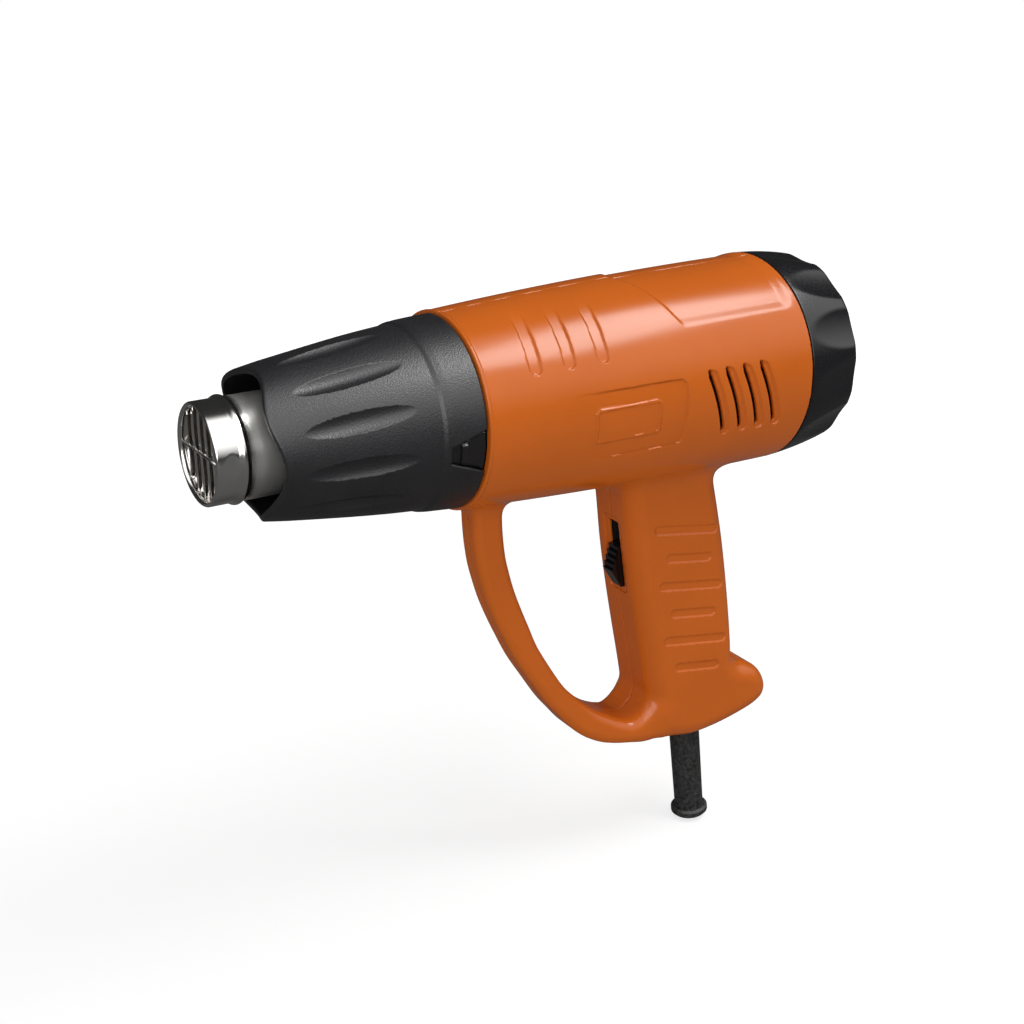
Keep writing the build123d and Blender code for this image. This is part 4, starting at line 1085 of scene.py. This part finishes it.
def nozzle_outline():
    """The nozzle's closed section: a rolled lip, a raised bead and a thin wall."""
    lip, edge = NOZZLE_LIP
    inner = NOZZLE_RADIUS - NOZZLE_WALL
    start, width, height = BEAD
    tail = start + width + BEAD_TAIL
    points = arc(edge, NOZZLE_RADIUS - edge, edge, *LIP_ARC)[::-1]
    points += [(edge + (start - edge) * i / PLAIN_STEPS, NOZZLE_RADIUS) for i in range(1, PLAIN_STEPS)]
    for i in range(BEAD_STEPS + 1):
        share = i / BEAD_STEPS
        points.append((start + width * share, NOZZLE_RADIUS + height * math.sin(math.pi * share) ** BEAD_POWER))
    points += [(tail, NOZZLE_RADIUS), (NOZZLE_LENGTH, NOZZLE_RADIUS), (NOZZLE_LENGTH, inner), (tail, inner)]
    points += [(edge + 2 * NOZZLE_WALL, inner), (edge + NOZZLE_WALL, NOZZLE_RADIUS - lip)]
    return points + [(edge, NOZZLE_RADIUS - lip)]


def build_nozzle():
    """The steel nozzle tube."""
    nozzle = lathe("rolled_nozzle", nozzle_outline(), NOZZLE_SEGMENTS, dent_depth)
    place(nozzle, "housing", "nozzle_tube", NOZZLE, "polished_steel")


def prism(name, loops):
    """A closed mesh through equal loops of points in millimetres, with a face at each end."""
    n = len(loops[0])
    last = (len(loops) - 1) * n
    faces = []
    for a in range(0, last, n):
        faces += [(a + i, a + (i + 1) % n, a + n + (i + 1) % n, a + n + i) for i in range(n)]
    faces += [tuple(range(n))[::-1], tuple(range(last, last + n))]
    return mesh_object(name, [point for loop in loops for point in loop], faces)


def slat(name, y, reach):
    """One upright slat, waved from front to rear, with a rounded front edge."""
    steps, levels, nose_steps = SLAT_STEPS
    half = SLAT_THICKNESS / 2
    start = SLAT_FRONT + SLAT_BEAD / 2
    rows = [(start + (SLAT_DEPTH - SLAT_BEAD) * i / steps, y + SLAT_WAVE * math.sin(2 * math.pi * i / steps))
            for i in range(steps + 1)]
    turns = [math.pi * k / nose_steps for k in range(1, nose_steps)]
    nose = [(start - SLAT_BEAD / 2 * math.sin(t), y + half * math.cos(t)) for t in turns]
    loop = [(x, v - half) for x, v in rows][::-1] + nose[::-1] + [(x, v + half) for x, v in rows]
    loops = []
    for k in range(levels + 1):
        z = reach * (2 * k / levels - 1)
        bow = SLAT_BOW * math.sin(math.pi * z / reach)
        loops.append([(x, v + bow, z) for x, v in loop])
    return prism(name, loops)


def cross_wire(reach):
    """The wire that runs across the slats."""
    turns = [2 * math.pi * t / WIRE_SIDES for t in range(WIRE_SIDES)]
    x = SLAT_FRONT + WIRE_FORWARD
    section = [(x + WIRE_RADIUS * math.cos(t), WIRE_RADIUS * math.sin(t)) for t in turns]
    return prism("cross_wire", [[(a, y, b) for a, b in section] for y in (-reach, reach)])


def build_grille():
    """The slatted grille with its ring and cross wire, in the nozzle's mouth."""
    outer = NOZZLE_RADIUS - NOZZLE_WALL - GRILLE_GAP
    inner = outer - GRILLE_RING
    front = SLAT_FRONT + GRILLE_RING
    rear = SLAT_FRONT + SLAT_DEPTH
    ring = [(front, inner), (front, outer), (rear, outer), (rear, inner)]
    pieces = [lathe("grille_ring", ring, GRILLE_SEGMENTS)]
    for i in range(SLATS):
        y = (i - (SLATS - 1) / 2) * SLAT_PITCH
        reach = math.sqrt(outer ** 2 - (abs(y) + SLAT_BOW) ** 2) - SLAT_SEAT
        pieces.append(slat("slat_%d" % i, y, reach))
    pieces.append(cross_wire(outer - SLAT_SEAT))
    grille = merge("waved_grille", pieces)
    place(grille, "housing", "nozzle_grille", GRILLE, "grille_steel")


dress_nodes()
build_housing()
build_guard()
build_cap()
build_collar()
build_nozzle()
build_grille()


# Camera, light and floor

def set_camera():
    """The camera at its measured place."""
    data = bpy.data.cameras.new("camera")
    data.lens = CAMERA_LENS
    camera = linked("camera", data)
    back = [-v for v in CAMERA_LOOK]
    turn = Matrix((CAMERA_RIGHT, CAMERA_UP, back)).transposed().to_4x4()
    camera.matrix_world = Matrix.Translation(Vector(CAMERA_PLACE) * MM) @ turn
    bpy.context.scene.camera = camera


def area_light(name, place_mm, aim_mm, size_mm, power):
    """A soft rectangular lamp that looks at a point."""
    data = bpy.data.lights.new(name, "AREA")
    data.shape = "RECTANGLE"
    data.size = size_mm[0] * MM
    data.size_y = size_mm[1] * MM
    data.energy = power
    lamp = linked(name, data)
    start = Vector(place_mm) * MM
    aim = Vector(aim_mm) * MM - start
    lamp.matrix_world = Matrix.Translation(start) @ aim.to_track_quat("-Z", "Y").to_matrix().to_4x4()


def set_world():
    """Even pale light, a bright panel for reflections, and white where the camera looks past the object."""
    world = bpy.data.worlds.new("studio")
    world.use_nodes = True
    bpy.context.scene.world = world
    tree = world.node_tree
    tree.nodes.clear()
    paths = tree.nodes.new("ShaderNodeLightPath").outputs
    seen = reckon(tree, "MAXIMUM", paths["Is Camera Ray"], paths["Is Transmission Ray"])
    direction = coordinates(tree, "Generated")
    high = band(tree, direction["Z"], *PANEL_HIGH, 0.0, 1.0)
    near = band(tree, direction["Y"], *PANEL_NEAR, 0.0, 1.0)
    panel = band(tree, reckon(tree, "MULTIPLY", high, near), 0.0, 1.0, *PANEL_LEVELS)
    glossy = tree.nodes.new("ShaderNodeBackground")
    tree.links.new(panel, glossy.inputs["Strength"])
    plain = tree.nodes.new("ShaderNodeBackground")
    plain.inputs["Color"].default_value = (1, 1, 1, 1)
    plain.inputs["Strength"].default_value = WORLD_LEVEL
    white = tree.nodes.new("ShaderNodeBackground")
    white.inputs["Color"].default_value = (1, 1, 1, 1)
    first = tree.nodes.new("ShaderNodeMixShader")
    tree.links.new(paths["Is Glossy Ray"], first.inputs["Fac"])
    tree.links.new(plain.outputs["Background"], first.inputs[1])
    tree.links.new(glossy.outputs["Background"], first.inputs[2])
    second = tree.nodes.new("ShaderNodeMixShader")
    tree.links.new(seen, second.inputs["Fac"])
    tree.links.new(first.outputs["Shader"], second.inputs[1])
    tree.links.new(white.outputs["Background"], second.inputs[2])
    out = tree.nodes.new("ShaderNodeOutputWorld")
    tree.links.new(second.outputs["Shader"], out.inputs["Surface"])


def set_floor():
    """A pale floor that keeps the shadow and fades to white away from the object; in reflections it shows
    darker than its own colour, a painted shade that darkens the reflected floor under the object.
    """
    mesh = bpy.data.meshes.new("floor")
    reach = FLOOR_REACH * MM
    z = FLOOR_Z * MM
    corners = [(-reach, -reach, z), (reach, -reach, z), (reach, reach, z), (-reach, reach, z)]
    mesh.from_pydata(corners, [], [(0, 1, 2, 3)])
    floor = linked("floor", mesh)
    made = bpy.data.materials.new("floor")
    made.use_nodes = True
    tree = made.node_tree
    tree.nodes.clear()
    paths = tree.nodes.new("ShaderNodeLightPath").outputs
    geometry = tree.nodes.new("ShaderNodeNewGeometry")
    away = tree.nodes.new("ShaderNodeVectorMath")
    away.operation = "DISTANCE"
    away.inputs[1].default_value = (FLOOR_MIDDLE[0] * MM, FLOOR_MIDDLE[1] * MM, z)
    tree.links.new(geometry.outputs["Position"], away.inputs[0])
    distance = away.outputs["Value"]
    low, high = (v * MM for v in FLOOR_FADE)
    share = band(tree, distance, low, high, FLOOR_GLOW_SHARE, 1.0)
    strength = reckon(tree, "MULTIPLY", paths["Is Camera Ray"], share)
    matt = tree.nodes.new("ShaderNodeBsdfDiffuse")
    # Painted shade: reflected rays get a darker floor colour, which paints dark reflections on the object's
    # undersides
    shade = band(tree, paths["Is Glossy Ray"], 0.0, 1.0, FLOOR_COLOUR, FLOOR_PAINTED_REFLECTION_SHADE)
    tree.links.new(shade, matt.inputs["Color"])
    glow = tree.nodes.new("ShaderNodeEmission")
    glow.inputs["Color"].default_value = (1, 1, 1, 1)
    tree.links.new(band(tree, distance, low, high, FLOOR_GLOW, 1.0), glow.inputs["Strength"])
    mix = tree.nodes.new("ShaderNodeMixShader")
    tree.links.new(strength, mix.inputs["Fac"])
    tree.links.new(matt.outputs["BSDF"], mix.inputs[1])
    tree.links.new(glow.outputs["Emission"], mix.inputs[2])
    out = tree.nodes.new("ShaderNodeOutputMaterial")
    tree.links.new(mix.outputs["Shader"], out.inputs["Surface"])
    mesh.materials.append(made)


set_camera()
set_world()
set_floor()
for row in LAMPS:
    area_light(*row)
bpy.context.scene.view_settings.view_transform = "Standard"
